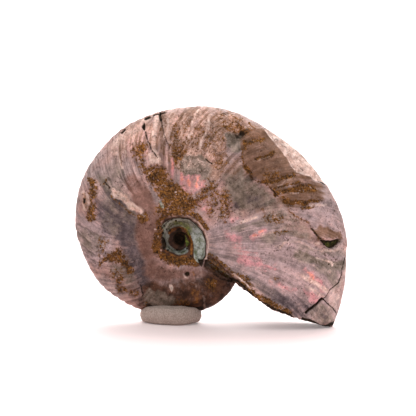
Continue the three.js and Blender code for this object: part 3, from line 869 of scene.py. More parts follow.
class NodeSheet:
    """A node tree, with short ways to add and join its nodes."""

    def __init__(self, tree: bpy.types.NodeTree) -> None:
        """Starts from an empty tree."""
        self.tree = tree
        tree.nodes.clear()

    def add(self, kind: str, inputs: dict[Any, Any] | None = None, **settings: Any) -> bpy.types.Node:
        """Adds a node.

        Args:
            kind: The node's type, without its ShaderNode prefix.
            inputs: For each input's name or number, a value or the socket that feeds it.
            settings: The node's own properties.

        Returns:
            The new node.
        """
        node = self.tree.nodes.new(kind if kind.startswith("Node") else "ShaderNode" + kind)
        for name, value in settings.items():
            setattr(node, name, value)
        for key, value in (inputs or {}).items():
            if isinstance(value, bpy.types.NodeSocket):
                self.tree.links.new(value, node.inputs[key])
            else:
                node.inputs[key].default_value = value
        return node

    def math(self, operation: str, first: Any, second: Any = 0.0) -> bpy.types.NodeSocket:
        """Adds a sum, product or other operation on two values and gives its result."""
        return self.add("Math", {0: first, 1: second}, operation=operation).outputs[0]

    def blend(self, share: Any, below: Any, above: Any) -> bpy.types.NodeSocket:
        """Mixes two numbers and gives the result."""
        return self.add("Mix", {0: share, 2: below, 3: above}).outputs[0]

    def mix(self, share: Any, below: Any, above: Any, way: str = "MIX") -> bpy.types.NodeSocket:
        """Mixes two colours and gives the result."""
        return self.add("Mix", {0: share, 6: below, 7: above}, data_type="RGBA", blend_type=way).outputs[2]

    def rise(self, value: Any, low: Any, high: Any) -> bpy.types.NodeSocket:
        """A smooth rise from 0 at low to 1 at high."""
        inputs = {0: value, 1: low, 2: high, 3: 0.0, 4: 1.0}
        return self.add("MapRange", inputs, interpolation_type="SMOOTHSTEP").outputs[0]

    def attribute(self, name: str, output: str = "Fac") -> bpy.types.NodeSocket:
        """Reads one of the mesh's attributes."""
        return self.add("Attribute", attribute_name=name).outputs[output]

    def noise(self, vector: Any, scale: Any, detail: float = 2.0, roughness: float = 0.55,
              distortion: float = 0.0) -> bpy.types.NodeSocket:
        """Adds a noise texture and gives its value."""
        inputs = {
            "Vector": vector, "Scale": scale, "Detail": detail, "Roughness": roughness,
            "Distortion": distortion,
        }
        return self.add("TexNoise", inputs).outputs[0]


class Effects:
    """Node groups that the finishes use, each built once."""

    def __init__(self) -> None:
        """Builds the groups."""
        self.stain = self._stain()
        self.grain = self._grain()

    @staticmethod
    def _group(name: str, sockets: list[tuple[str, str, str]]) -> tuple[bpy.types.NodeTree, NodeSheet]:
        """Starts a node group.

        Args:
            name: The group's name.
            sockets: Name, direction and type of each of its sockets.

        Returns:
            The group and the sheet to draw it on.
        """
        tree = bpy.data.node_groups.new(name, "ShaderNodeTree")
        for label, direction, kind in sockets:
            tree.interface.new_socket(label, in_out=direction, socket_type="NodeSocket" + kind)
        return tree, NodeSheet(tree)

    def _stain(self) -> bpy.types.NodeTree:
        """A stain with ragged edges, mottled or streaked in two colours, laid over a colour."""
        tree, sheet = self._group("Stain", [
            ("Below", "INPUT", "Color"), ("Cover", "INPUT", "Float"), ("Light", "INPUT", "Color"),
            ("Deep", "INPUT", "Color"), ("Grain", "INPUT", "Float"), ("Ragged", "INPUT", "Float"),
            ("Soft", "INPUT", "Float"), ("Streak", "INPUT", "Float"), ("Streaky", "INPUT", "Float"),
            ("Color", "OUTPUT", "Color"), ("Mask", "OUTPUT", "Float"),
        ])
        given = sheet.add("NodeGroupInput").outputs
        place = sheet.add("TexCoord").outputs["Object"]
        edge = sheet.math("SUBTRACT", sheet.noise(place, given["Grain"], 6.0, 0.72), 0.5)
        lines = sheet.math("MULTIPLY", sheet.math("SUBTRACT", given["Streak"], 0.5), given["Streaky"])
        lifted = sheet.math("SUBTRACT", sheet.math("MULTIPLY", edge, given["Ragged"]), lines)
        reach = sheet.math("MULTIPLY", lifted, sheet.rise(given["Cover"], 0.0, 0.2))
        low, high = sheet.math("SUBTRACT", 0.5, given["Soft"]), sheet.math("ADD", 0.5, given["Soft"])
        mask = sheet.rise(sheet.math("ADD", given["Cover"], reach), low, high)
        finer = sheet.math("MULTIPLY", given["Grain"], 1.6)
        mottle = sheet.rise(sheet.noise(place, finer, 6.0, 0.7), 0.36, 0.64)
        shade = sheet.blend(given["Streaky"], mottle, given["Streak"])
        laid = sheet.mix(mask, given["Below"], sheet.mix(shade, given["Deep"], given["Light"]))
        sheet.add("NodeGroupOutput", {"Color": laid, "Mask": mask})
        return tree

    def _grain(self) -> bpy.types.NodeTree:
        """Fine grain: a height for the bump and a speckle between 0 and 1."""
        tree, sheet = self._group("Grain", [
            ("Size", "INPUT", "Float"), ("Height", "OUTPUT", "Float"), ("Speckle", "OUTPUT", "Float"),
        ])
        given = sheet.add("NodeGroupInput").outputs
        place = sheet.add("TexCoord").outputs["Object"]
        fine = sheet.noise(place, given["Size"], 4.0, 0.7)
        coarse = sheet.noise(place, sheet.math("MULTIPLY", given["Size"], 0.35), 2.0, 0.6)
        height = sheet.math("ADD", sheet.math("MULTIPLY", fine, 0.6), sheet.math("MULTIPLY", coarse, 0.4))
        sheet.add("NodeGroupOutput", {"Height": height, "Speckle": sheet.rise(fine, 0.38, 0.62)})
        return tree


@dataclass(frozen=True)
class StainLook:
    """How one tone of the shell looks: two colours, its lumps for each metre and how ragged its edge is."""

    tone: Tone
    light: Colour
    deep: Colour
    grain: float
    ragged: float
    soft: float
    roughness: float
    streaky: float = 0.0


@dataclass(frozen=True)
class ShellFinish:
    """Worn nacre with growth streaks, stained and crusted, with painted shade and highlight glazed over;
    sizes are in lumps for each metre.
    """

    name: str = "worn_nacre"
    warm_light: Colour = srgb(206, 168, 160)
    warm_deep: Colour = srgb(130, 98, 90)
    cool_light: Colour = srgb(188, 164, 160)
    cool_deep: Colour = srgb(110, 97, 94)
    # Rib furrows are painted darker and rib crests lighter: painted shade and painted highlight on the rib
    # relief.
    furrow: Colour = srgb(84, 68, 64)
    crest: Colour = srgb(214, 178, 168)
    speck: Colour = srgb(64, 40, 26)
    track: Colour = srgb(92, 62, 44)
    fleck: Colour = srgb(226, 200, 190)
    # Multipliers of the glazes: grime with painted shade, which darkens, and bleaching with painted
    # highlight, which lightens.
    grime_and_shade: Colour = (0.5, 0.42, 0.36)
    bleach_and_highlight: Colour = (1.45, 1.36, 1.34)
    roughness: float = 0.48
    gloss: float = 0.12
    drift_size: float = 150.0
    grain_size: float = 2600.0
    blotch_size: float = 620.0
    crust_size: float = 1900.0
    dark_track_size: float = 420.0
    pale_track_size: float = 560.0
    track_strength: float = 0.4
    speck_cloud_size: float = 190.0
    speck_size: float = 1900.0
    speck_strength: float = 0.8
    fleck_size: float = 2300.0
    bump: float = 0.4
    bump_depth: float = 0.2 * MM
    streak_height: float = 0.3
    crust_height: float = 2.4
    streak_layers: tuple[tuple[float, tuple[float, float, float]], ...] = (
        (0.45, (85.0, 1.6, 1.0)), (0.35, (190.0, 2.6, 1.0)), (0.2, (420.0, 4.5, 1.0)),
    )
    grounds: tuple[StainLook, ...] = (
        StainLook(Tone.LILAC, srgb(196, 170, 171), srgb(116, 101, 97), 480, 1.6, 0.45, 0.42, 0.75),
        StainLook(Tone.TAN, srgb(212, 174, 158), srgb(108, 78, 58), 260, 2.2, 0.4, 0.5, 0.85),
        StainLook(Tone.UMBER_AND_SHADE, srgb(106, 72, 54), srgb(40, 24, 14), 340, 2.2, 0.5, 0.5, 0.2),
        StainLook(Tone.GREY, srgb(158, 142, 131), srgb(84, 74, 62), 420, 2.0, 0.5, 0.45, 0.35),
        StainLook(Tone.SLATE, srgb(118, 104, 106), srgb(60, 50, 53), 480, 2.2, 0.45, 0.42, 0.5),
        StainLook(Tone.MAUVE, srgb(152, 115, 104), srgb(92, 66, 56), 340, 1.4, 0.45, 0.4, 0.45),
        StainLook(Tone.BROWN, srgb(158, 124, 106), srgb(82, 54, 29), 340, 1.6, 0.4, 0.5, 0.75),
    )
    crusts: tuple[StainLook, ...] = (
        StainLook(Tone.RUST, srgb(142, 96, 46), srgb(46, 28, 9), 1500, 4.0, 0.32, 0.7),
        StainLook(Tone.PINK, srgb(238, 172, 166), srgb(186, 130, 138), 700, 2.4, 0.45, 0.3, 0.75),
        StainLook(Tone.CORAL, srgb(250, 172, 140), srgb(216, 122, 98), 700, 1.8, 0.4, 0.3, 0.4),
        StainLook(Tone.PALE_AND_HIGHLIGHT, srgb(230, 205, 194), srgb(186, 152, 138), 520, 1.2, 0.4, 0.45),
        StainLook(Tone.NACRE, srgb(184, 190, 186), srgb(104, 112, 88), 420, 0.6, 0.3, 0.25),
        StainLook(Tone.OCHRE, srgb(170, 112, 52), srgb(86, 50, 18), 900, 1.4, 0.3, 0.5),
        StainLook(Tone.DARK, srgb(50, 38, 24), srgb(14, 8, 5), 900, 0.6, 0.3, 0.8),
        StainLook(Tone.GREEN, srgb(150, 160, 66), srgb(64, 84, 30), 900, 1.0, 0.3, 0.3),
    )

    def material(self, effects: Effects) -> bpy.types.Material:
        """Builds the material.

        Args:
            effects: The shared node groups.

        Returns:
            A material that reads the shell's own attributes.
        """
        made = bpy.data.materials.new(self.name)
        made.use_nodes = True
        sheet = NodeSheet(made.node_tree)
        streak = self._streak(sheet)
        place = sheet.add("TexCoord").outputs["Object"]
        drift = sheet.rise(sheet.noise(place, self.drift_size, 4.0, 0.6), 0.38, 0.62)
        colour = sheet.mix(streak, sheet.mix(drift, rgba(self.cool_deep), rgba(self.warm_deep)),
                           sheet.mix(drift, rgba(self.cool_light), rgba(self.warm_light)))
        colour, rough = self._lay(sheet, effects, self.grounds, colour, self.roughness, streak)
        # Painted highlight on the rib crests and painted shade in the furrows.
        crest = sheet.attribute("crest")
        colour = sheet.mix(sheet.rise(crest, 0.1, 1.6), colour, rgba(self.crest))
        colour = sheet.mix(sheet.rise(crest, -0.1, -1.6), colour, rgba(self.furrow))
        colour = self._scribble(sheet, colour, place)
        colour, rough = self._lay(sheet, effects, self.crusts, colour, rough, streak)
        colour = self._speckle(sheet, colour, place)
        # Lays the glazes: grime with painted shade darkens, and bleaching with painted highlight lightens.
        for tone, tint in ((Tone.GRIME_AND_SHADE, self.grime_and_shade), (Tone.BLEACH_AND_HIGHLIGHT, self.bleach_and_highlight)):
            colour = sheet.mix(sheet.attribute(tone.value), colour, rgba(tint), "MULTIPLY")
        grain = sheet.add("Group", {"Size": self.grain_size}, node_tree=effects.grain)
        rust = sheet.attribute(Tone.RUST.value)
        blotch = sheet.rise(sheet.noise(place, self.blotch_size, 4.0, 0.66), 0.36, 0.64)
        blotched = sheet.blend(blotch, sheet.blend(rust, 0.8, 0.5), sheet.blend(rust, 1.18, 1.25))
        speckle = sheet.math("MULTIPLY", sheet.blend(grain.outputs["Speckle"], 0.86, 1.1), blotched)
        spread = sheet.add("CombineColor", {0: speckle, 1: speckle, 2: speckle}).outputs[0]
        colour = sheet.mix(1.0, colour, spread, "MULTIPLY")
        crust = sheet.math("MULTIPLY", rust, sheet.noise(place, self.crust_size, 4.0, 0.6))
        lines = sheet.math("MULTIPLY", streak, self.streak_height)
        height = sheet.math("ADD", grain.outputs["Height"], lines)
        height = sheet.math("ADD", height, sheet.math("MULTIPLY", crust, self.crust_height))
        bump = sheet.add("Bump", {
            "Strength": self.bump, "Distance": self.bump_depth, "Height": height,
        }).outputs[0]
        shader = sheet.add("BsdfPrincipled", {
            "Base Color": colour, "Roughness": rough, "Normal": bump, "Specular IOR Level": self.gloss,
        }).outputs[0]
        sheet.add("OutputMaterial", {"Surface": shader})
        return made

    def _streak(self, sheet: NodeSheet) -> bpy.types.NodeSocket:
        """Growth streaks, from 0 to 1, that lie along the growing lip of each time."""
        strata = sheet.attribute("strata", "Vector")
        layers = []
        for weight, scale in self.streak_layers:
            lines = sheet.add("Mapping", {"Vector": strata, "Scale": scale}).outputs[0]
            layers.append(sheet.math("MULTIPLY", sheet.noise(lines, 1.0, 3.0, 0.6, 0.45), weight))
        total = sheet.math("ADD", sheet.math("ADD", layers[0], layers[1]), layers[2])
        return sheet.blend(sheet.attribute("streaks"), 0.5, sheet.rise(total, 0.41, 0.59))

    @staticmethod
    def _lay(sheet: NodeSheet, effects: Effects, looks: tuple[StainLook, ...], colour: Any, rough: Any,
             streak: Any) -> tuple[Any, Any]:
        """Lays stains over a colour and a roughness, each over the one before."""
        for look in looks:
            laid = sheet.add("Group", {
                "Below": colour, "Cover": sheet.attribute(look.tone.value), "Streak": streak,
                "Light": rgba(look.light), "Deep": rgba(look.deep), "Grain": look.grain,
                "Ragged": look.ragged, "Soft": look.soft, "Streaky": look.streaky,
            }, node_tree=effects.stain)
            colour = laid.outputs["Color"]
            rough = sheet.blend(laid.outputs["Mask"], rough, look.roughness)
        return colour, rough

    def _scribble(self, sheet: NodeSheet, colour: Any, place: Any) -> bpy.types.NodeSocket:
        """Draws the winding tracks that worms and roots left on the tan ground, dark and pale."""
        cloud = sheet.math("MULTIPLY", sheet.attribute(Tone.TAN.value), self.track_strength)
        for tint, size in ((self.track, self.dark_track_size), (self.fleck, self.pale_track_size)):
            away = sheet.math("ABSOLUTE", sheet.math("SUBTRACT", sheet.noise(place, size, 2.0, 0.6), 0.5))
            track = sheet.math("MULTIPLY", sheet.rise(away, 0.026, 0.006), cloud)
            colour = sheet.mix(track, colour, rgba(tint))
        return colour

    def _speckle(self, sheet: NodeSheet, colour: Any, place: Any) -> bpy.types.NodeSocket:
        """Scatters rusty specks in loose clouds, and bright flecks where there is rust."""
        cloud = sheet.rise(sheet.noise(place, self.speck_cloud_size, 2.0), 0.42, 0.62)
        speck = sheet.rise(sheet.noise(place, self.speck_size, 2.0), 0.58, 0.66)
        fleck = sheet.rise(sheet.noise(place, self.fleck_size, 1.0), 0.66, 0.74)
        specks = sheet.math("MULTIPLY", sheet.math("MULTIPLY", cloud, speck), self.speck_strength)
        colour = sheet.mix(specks, colour, rgba(self.speck))
        rusty = sheet.blend(sheet.attribute(Tone.RUST.value), 0.06, 0.4)
        return sheet.mix(sheet.math("MULTIPLY", fleck, rusty), colour, rgba(self.fleck))


@dataclass(frozen=True)
class PuttyFinish:
    """Matte grey putty with a fine grain and a few dark specks."""

    name: str = "grey_putty"
    light: Colour = srgb(184, 165, 155)
    deep: Colour = srgb(152, 134, 124)
    speck: Colour = srgb(92, 78, 70)
    roughness: float = 0.85
    grain_size: float = 3200.0
    speck_size: float = 1400.0
    bump: float = 0.35
    bump_depth: float = 0.2 * MM

    def material(self, effects: Effects) -> bpy.types.Material:
        """Builds the material.

        Args:
            effects: The shared node groups.

        Returns:
            A material on Object coordinates.
        """
        made = bpy.data.materials.new(self.name)
        made.use_nodes = True
        sheet = NodeSheet(made.node_tree)
        grain = sheet.add("Group", {"Size": self.grain_size}, node_tree=effects.grain)
        place = sheet.add("TexCoord").outputs["Object"]
        speck = sheet.rise(sheet.noise(place, self.speck_size, 1.0), 0.74, 0.79)
        colour = sheet.mix(grain.outputs["Speckle"], rgba(self.deep), rgba(self.light))
        colour = sheet.mix(speck, colour, rgba(self.speck))
        bump = sheet.add("Bump", {
            "Strength": self.bump, "Distance": self.bump_depth, "Height": grain.outputs["Height"],
        }).outputs[0]
        shader = sheet.add("BsdfPrincipled", {
            "Base Color": colour, "Roughness": self.roughness, "Normal": bump,
        }).outputs[0]
        sheet.add("OutputMaterial", {"Surface": shader})
        return made


@dataclass
class Ammonite:
    """The fossil: its coil, its broken lip, its relief and its stains."""

    coil: Coil
    view: Viewpoint
    marks: dict[Tone | None, tuple[Mark, ...]]
    finish: ShellFinish = ShellFinish()
    rings_per_turn: int = 72
    flank_steps: int = 16
    shell_wall: float = 1.3 * MM
    mouth_turn: float = 0.016
    break_at: Spot = (26.3 * MM, -16.9 * MM)
    break_slope: float = math.radians(-18.0)
    lip_rings: int = 10
    voxel: float = 0.27 * MM
    fine_depth: float = 1.5 * MM
    kept_share: float = 0.75
    ribs_per_turn: int = 72
    rib_height: float = 0.2 * MM
    rib_strengths: tuple[Spot, ...] = (
        (-1.0, 0.1), (-0.85, 0.1), (-0.75, 0.6), (-0.68, 0.8), (-0.66, 0.3), (-0.58, 0.2), (-0.54, 0.15),
        (-0.5, 0.25), (-0.44, 0.4), (-0.38, 0.35), (-0.34, 0.2), (-0.1, 0.25), (0.0, 0.15),
    )
    outer_streaks: tuple[Spot, ...] = (
        (-0.62, 0.5), (-0.54, 0.45), (-0.48, 1.0), (-0.36, 0.9), (-0.3, 0.7), (-0.26, 0.4), (-0.18, 0.55),
        (0.0, 0.6),
    )
    inner_streaks: tuple[Spot, ...] = ((-0.2, 0.15), (-0.12, 0.85), (0.0, 0.7))
    line_pitch: tuple[float, float] = (150.0, 3.0)
    depth_pitch: float = 0.15
    fine_lines: float = 0.05 * MM
    broad_lines: float = 0.14 * MM
    broad_lumps: float = 0.1 * MM
    fine_lumps: float = 0.035 * MM
    crust_lumps: float = 0.1 * MM
    rock_lumps: float = 0.2 * MM
    mouth_stain: float = 0.6
    back_stains: tuple[tuple[Tone, float, float], ...] = (
        (Tone.TAN, 9.0, 0.1), (Tone.GREY, 11.0, 0.05), (Tone.BROWN, 8.0, 0.3), (Tone.RUST, 6.0, 0.35),
        (Tone.PINK, 5.0, 0.74), (Tone.MAUVE, 10.0, 0.3), (Tone.GRIME_AND_SHADE, 12.0, -0.1),
    )
    back_shift: float = 31 * MM
    back_rise: float = 0.35
    seed: int = 7

    def build(self, effects: Effects) -> bpy.types.Object:
        """Makes the fossil and dresses it.

        Args:
            effects: The shared node groups.

        Returns:
            The finished piece.
        """
        shell = self._sweep()
        self._break_lip(shell)
        self._plug()
        self._fuse(shell)
        self._weather(shell)
        shell.data.materials.append(self.finish.material(effects))
        Workbench.clear()
        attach(shell, "root")
        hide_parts("ammonite")
        return shell

    def _sweep(self) -> bpy.types.Object:
        """Extrudes the whorl's section along the spiral, from the first turn to the aperture."""
        half = self.coil.half_section(self.flank_steps)
        outline = [(reach, -wide) for reach, wide in half] + half[:0:-1]
        start = -float(self.coil.turns)
        shrink = self.coil.venter_radius(start) / self.coil.venter_radius(0.0)
        cosine, sine = math.cos(self.coil.aperture_heading), math.sin(self.coil.aperture_heading)
        centre = self.coil.axis
        Workbench.clear()
        bpy.ops.mesh.primitive_circle_add(vertices=len(outline), radius=self.coil.half_breadth)
        shell = bpy.context.object
        shell.name = shell.data.name = "ammonite_shell"
        reach, wide = np.array(outline).T
        reach, wide = reach * shrink, wide * shrink**self.coil.breadth_power
        Workbench.move_points(shell, np.column_stack(
            (centre.x + reach * cosine, wide, centre.z + reach * sine)))
        bpy.ops.object.mode_set(mode="EDIT")
        bpy.ops.mesh.select_all(action="SELECT")
        bpy.ops.mesh.edge_face_add()
        bpy.ops.mesh.select_mode(type="EDGE")
        turn = start
        for _ in range(self.coil.turns * self.rings_per_turn):
            grown = self.coil.venter_radius(turn + 1 / self.rings_per_turn) / self.coil.venter_radius(turn)
            bpy.ops.mesh.extrude_region()
            self._swing(1 / self.rings_per_turn, grown)
            turn += 1 / self.rings_per_turn
        bpy.ops.mesh.inset(thickness=self.shell_wall)
        bpy.ops.mesh.extrude_region()
        shrink = self.coil.venter_radius(-self.mouth_turn) / self.coil.venter_radius(0.0)
        self._swing(-self.mouth_turn, shrink)
        bpy.ops.object.mode_set(mode="OBJECT")
        return shell

    def _swing(self, turns: float, grown: float) -> None:
        """Turns what is selected about the coil axis and grows it."""
        centre = tuple(self.coil.axis)
        bpy.ops.transform.rotate(value=-TAU * turns, orient_axis="Y", center_override=centre)
        size = (grown, grown**self.coil.breadth_power, grown)
        bpy.ops.transform.resize(value=size, center_override=centre)

    def _break_lip(self, shell: bpy.types.Object) -> None:
        """Breaks the tip off the lip, and wears it flat where it stands on the table."""
        ring = 2 * len(self.coil.half_section(self.flank_steps)) - 1
        first = ring * (self.coil.turns * self.rings_per_turn - self.lip_rings)
        at = self.coil.axis + Vector((self.break_at[0], 0, self.break_at[1]))
        up = Vector((-math.sin(self.break_slope), 0, math.cos(self.break_slope)))
        for place, normal in ((at, up), (Vector((at.x, 0, 0)), Vector((0, 0, 1)))):
            Workbench.pick_points(shell, np.arange(len(shell.data.vertices)) >= first)
            bpy.ops.mesh.bisect(plane_co=place, plane_no=normal, use_fill=True, clear_inner=True)
            bpy.ops.object.mode_set(mode="OBJECT")

    def _plug(self) -> None:
        """Closes the middle of the umbilicus with the round first chamber."""
        bpy.ops.object.mode_set(mode="EDIT")
        bpy.ops.mesh.select_all(action="DESELECT")
        bpy.ops.mesh.primitive_uv_sphere_add(
            segments=16, ring_count=8, radius=1.0, location=self.coil.axis, scale=self.coil.first_chamber)
        bpy.ops.object.mode_set(mode="OBJECT")

    def _fuse(self, shell: bpy.types.Object) -> None:
        """Fuses the overlapping whorls into one skin, fine on the flank that faces the camera."""
        bpy.ops.object.mode_set(mode="EDIT")
        bpy.ops.mesh.select_all(action="SELECT")
        bpy.ops.mesh.normals_make_consistent(inside=False)
        bpy.ops.object.mode_set(mode="OBJECT")
        Workbench.apply(shell, "REMESH", mode="VOXEL", voxel_size=self.voxel, use_smooth_shade=True)
        Workbench.apply(shell, "SMOOTH", factor=0.5, iterations=3)
        self._thin_back(shell)

    def _thin_back(self, shell: bpy.types.Object) -> None:
        """Thins the skin of the flank that faces away, where no mark needs it fine."""
        away = shell.vertex_groups.new(name="away")
        behind = np.flatnonzero(Workbench.points(shell)[:, 1] > self.fine_depth)
        away.add(behind.tolist(), 1.0, "REPLACE")
        Workbench.apply(shell, "DECIMATE", ratio=self.kept_share, vertex_group=away.name)
        shell.vertex_groups.clear()

    def _weather(self, shell: bpy.types.Object) -> None:
        """Raises the ribs, cuts the cracks and pits, and keeps what each spot of the surface is made of."""
        points, normals = Workbench.points(shell), Workbench.normals(shell)
        turn, share = self.coil.locate(points)
        growth = self.coil.strata(turn, share)
        depth = points[:, 1] / MM * self.depth_pitch
        noise = LatticeNoise(self.seed)
        front = smoothstep(points[:, 1], 1.0 * MM, -1.0 * MM)
        covers = {tone: np.zeros(len(points)) for tone in Tone}
        relief = self._mark_front(covers, points, noise, front)
        self._stain_back(covers, points, noise, 1 - front)
        relief += self._fill_mouth(covers, turn, normals) * self.rock_lumps * noise(points, 0.9 * MM, 2)
        crest = self._ribs(turn, share, growth, noise, points)
        relief += self.rib_height * crest
        lines = np.column_stack((growth * self.line_pitch[0], share * self.line_pitch[1], depth))
        relief += self.fine_lines * noise(lines, 1.0, 2) * smoothstep(share, 0.05, 0.3)
        relief += self.broad_lines * noise(lines, 4.0, 1) * smoothstep(share, 0.1, 0.5)
        relief += self.broad_lumps * noise(points, 7 * MM, 2) + self.fine_lumps * noise(points, 1.0 * MM, 2)
        relief += covers[Tone.RUST] * self.crust_lumps * noise(points, 0.8 * MM, 2)
        moved = points + normals * relief[:, None]
        moved[:, 2] = np.maximum(moved[:, 2], 0.0)
        Workbench.move_points(shell, moved)
        for tone, cover in covers.items():
            Workbench.store(shell, tone.value, np.clip(cover, 0, 1))
        Workbench.store(shell, "crest", crest)
        outer = np.interp(turn, *zip(*self.outer_streaks))
        inner = np.interp(turn, *zip(*self.inner_streaks))
        Workbench.store(shell, "streaks", inner + (outer - inner) * smoothstep(share, 0.25, 0.55))
        Workbench.store(shell, "strata", np.column_stack((growth, share, depth)))
        shell.data.calc_loop_triangles()
        log.info("%s: %d vertices, %d triangles", shell.name, len(points), len(shell.data.loop_triangles))

    def _mark_front(self, covers: dict[Tone, np.ndarray], points: np.ndarray, noise: LatticeNoise,
                    front: np.ndarray) -> np.ndarray:
        """Lays the marks on the flank that the photo shows, and gives the relief that they add."""
        pixels = self.view.pixels(points, self.coil.axis)
        warp = np.column_stack([
            noise(rows, 1.1 * MM, 2) + 1.6 * noise(rows, 3.6 * MM) for rows in (points, points[:, ::-1])
        ])
        relief = np.zeros(len(points))
        for tone, marks in self.marks.items():
            for mark in marks:
                cover = mark.cover(pixels + mark.loose * warp) * front
                relief += mark.relief * cover
                if tone:
                    covers[tone] = np.maximum(covers[tone], cover)
        return relief

    def _ribs(self, turn: np.ndarray, share: np.ndarray, growth: np.ndarray, noise: LatticeNoise,
              points: np.ndarray) -> np.ndarray:
        """Height of the ribs' wave at each point, below 0 in the furrows and above 0 on the crests."""
        strong = np.interp(turn, *zip(*self.rib_strengths)) * smoothstep(share, 0.3, 0.75)
        strong *= np.clip(0.75 + 0.6 * noise(points, 5 * MM, 2), 0.05, 1.3)
        wave = np.abs(np.sin(math.pi * self.ribs_per_turn * (growth + 0.004 * noise(points, 4 * MM, 2))))
        return strong * (2.2 * wave**0.6 - 1.4)

    def _fill_mouth(self, covers: dict[Tone, np.ndarray], turn: np.ndarray,
                    normals: np.ndarray) -> np.ndarray:
        """Stains the filled mouth and the broken end of the lip, and tells where they are."""
        heading = self.coil.aperture_heading
        ahead = normals[:, 0] * math.sin(heading) - normals[:, 2] * math.cos(heading)
        mouth = smoothstep(ahead, 0.4, 0.75) * smoothstep(turn, -0.06, -0.04)
        covers[Tone.UMBER_AND_SHADE] = np.maximum(covers[Tone.UMBER_AND_SHADE], self.mouth_stain * mouth)
        return mouth

    def _stain_back(self, covers: dict[Tone, np.ndarray], points: np.ndarray, noise: LatticeNoise,
                    back: np.ndarray) -> None:
        """Stains the flank that the photo doesn't show, at random but always the same."""
        for step, (tone, size, start) in enumerate(self.back_stains, 1):
            lumps = noise(points + self.back_shift * step, size * MM, 3)
            patch = smoothstep(lumps, start, start + self.back_rise)
            covers[tone] = np.maximum(covers[tone], patch * back)


@dataclass
class PuttyFoot:
    """The wad of putty that the coil is pressed into."""

    finish: PuttyFinish = PuttyFinish()
    sides: int = 48
    profile: tuple[Spot, ...] = (
        (0.8, 0.0), (0.93, 0.1), (1.0, 0.36), (0.98, 0.62), (0.86, 0.86), (0.6, 0.98),
    )
    height: float = 4.6 * MM
    voxel: float = 0.2 * MM
    finger_dents: float = 0.14 * MM
    fine_dents: float = 0.02 * MM
    seat_gap: float = 0.02 * MM
    seed: int = 11

    def build(self, effects: Effects, shell: bpy.types.Object) -> bpy.types.Object:
        """Makes the wad and dresses it.

        Args:
            effects: The shared node groups.
            shell: The fossil that is pressed into it.

        Returns:
            The finished piece.
        """
        low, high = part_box("putty_foot")
        centre, half = (low + high) / 2, (high - low) / 2
        Workbench.clear()
        bpy.ops.mesh.primitive_circle_add(vertices=self.sides, radius=1.0, fill_type="NGON")
        wad = bpy.context.object
        wad.name = wad.data.name = "putty_wad"
        bpy.ops.object.mode_set(mode="EDIT")
        bpy.ops.mesh.select_all(action="SELECT")
        across, up = self.profile[0]
        bpy.ops.transform.resize(value=(across, across, 1))
        for wider, higher in self.profile[1:]:
            bpy.ops.mesh.extrude_region_move(TRANSFORM_OT_translate={"value": (0, 0, higher - up)})
            bpy.ops.transform.resize(value=(wider / across, wider / across, 1), center_override=(0, 0, 0))
            across, up = wider, higher
        bpy.ops.mesh.select_all(action="SELECT")
        bpy.ops.mesh.normals_make_consistent(inside=False)
        bpy.ops.transform.resize(value=(half.x, half.y, self.height), center_override=(0, 0, 0))
        bpy.ops.transform.translate(value=(centre.x, centre.y, low.z))
        bpy.ops.object.mode_set(mode="OBJECT")
        Workbench.apply(wad, "REMESH", mode="VOXEL", voxel_size=self.voxel, use_smooth_shade=True)
        Workbench.apply(wad, "SMOOTH", factor=0.5, iterations=4)
        self._press(wad, shell)
        wad.data.materials.append(self.finish.material(effects))
        Workbench.clear()
        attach(wad, "root")
        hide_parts("putty_foot")
        return wad

    def _press(self, wad: bpy.types.Object, shell: bpy.types.Object) -> None:
        """Presses the fossil into the wad, and leaves the dents of fingers round it."""
        points = Workbench.points(wad)
        noise = LatticeNoise(self.seed)
        dent = self.finger_dents * noise(points, 3.2 * MM, 2) + self.fine_dents * noise(points, 0.5 * MM, 2)
        points += Workbench.normals(wad) * dent[:, None]
        skin = BVHTree.FromObject(shell, bpy.context.evaluated_depsgraph_get())
        for row in points:
            hit = skin.ray_cast(Vector((row[0], row[1], -1.0 * MM)), Vector((0, 0, 1)))[0]
            if hit is not None:
                row[2] = min(row[2], hit.z - self.seat_gap)
        points[:, 2] = np.maximum(points[:, 2], 0.0)
        Workbench.move_points(wad, points)
        log.info("%s: %d vertices", wad.name, len(points))


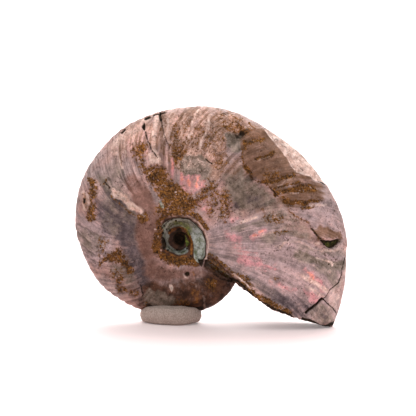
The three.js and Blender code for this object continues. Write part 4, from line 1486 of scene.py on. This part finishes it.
@dataclass
class Studio:
    """The pale floor, the soft light and the camera."""

    view: Viewpoint
    coil: Coil
    floor_side: float = 8.0
    floor_colour: Colour = (0.95, 0.78, 0.77)
    floor_roughness: float = 0.6
    floor_glow: float = 0.14
    sky_front: float = 0.75
    sky_back: float = 1.5
    backdrop_strength: float = 1.2
    softbox_place: tuple[float, float, float] = (0.1, 1.2, 1.4)
    softbox_side: float = 1.6
    softbox_power: float = 32.0
    clip: Spot = (0.01, 20.0)

    def build(self) -> None:
        """Sets the stage."""
        self._floor()
        self._light()
        self._camera()
        bpy.context.scene.view_settings.view_transform = "Standard"

    def _floor(self) -> None:
        """Lays a floor that the camera sees overexposed where no shadow falls."""
        Workbench.clear()
        bpy.ops.mesh.primitive_plane_add(size=self.floor_side)
        floor = bpy.context.object
        floor.name = "floor"
        made = bpy.data.materials.new("pale_floor")
        made.use_nodes = True
        sheet = NodeSheet(made.node_tree)
        seen = sheet.add("LightPath").outputs["Is Camera Ray"]
        shader = sheet.add("BsdfPrincipled", {
            "Base Color": rgba(self.floor_colour), "Roughness": self.floor_roughness,
            "Emission Color": rgba((1.0, 1.0, 1.0)),
            "Emission Strength": sheet.math("MULTIPLY", seen, self.floor_glow),
        })
        sheet.add("OutputMaterial", {"Surface": shader.outputs[0]})
        floor.data.materials.append(made)

    def _light(self) -> None:
        """Lights the surround and hangs one large softbox overhead, a little behind."""
        world = bpy.data.worlds.new("surround")
        world.use_nodes = True
        sheet = NodeSheet(world.node_tree)
        seen = sheet.add("LightPath").outputs["Is Camera Ray"]
        depth = sheet.add("SeparateXYZ", {0: sheet.add("TexCoord").outputs["Generated"]}).outputs["Y"]
        inputs = {0: depth, 1: -1.0, 2: 1.0, 3: self.sky_front, 4: self.sky_back}
        around = sheet.add("MapRange", inputs).outputs[0]
        strength = sheet.blend(seen, around, self.backdrop_strength)
        sky = sheet.add("Background", {"Color": rgba((1.0, 1.0, 1.0)), "Strength": strength})
        sheet.add("OutputWorld", {"Surface": sky.outputs[0]})
        bpy.context.scene.world = world
        bpy.ops.object.light_add(type="AREA", location=self.softbox_place)
        lamp = bpy.context.object
        lamp.data.size, lamp.data.energy = self.softbox_side, self.softbox_power
        aim = self.coil.axis - lamp.location
        lamp.rotation_euler = aim.to_track_quat("-Z", "Y").to_euler()

    def _camera(self) -> None:
        """Stands the camera where the photo was taken from."""
        bpy.ops.object.camera_add()
        camera = bpy.context.object
        camera.matrix_world = self.view.matrix(self.coil.axis)
        camera.data.lens, camera.data.sensor_width = self.view.lens, self.view.sensor
        camera.data.clip_start, camera.data.clip_end = self.clip
        bpy.context.scene.camera = camera


def main() -> None:
    """Builds the fossil, its foot and the stage, and reports each."""
    logging.basicConfig(level=logging.INFO, format="%(name)s: %(message)s")
    coil, view = Coil(), Viewpoint()
    effects = Effects()
    shell = Ammonite(coil, view, FRONT_MARKS).build(effects)
    log.info("%s stands for the node ammonite", shell.name)
    wad = PuttyFoot().build(effects, shell)
    log.info("%s stands for the node putty_foot", wad.name)
    Studio(view, coil).build()


if __name__ == "__main__":
    main()
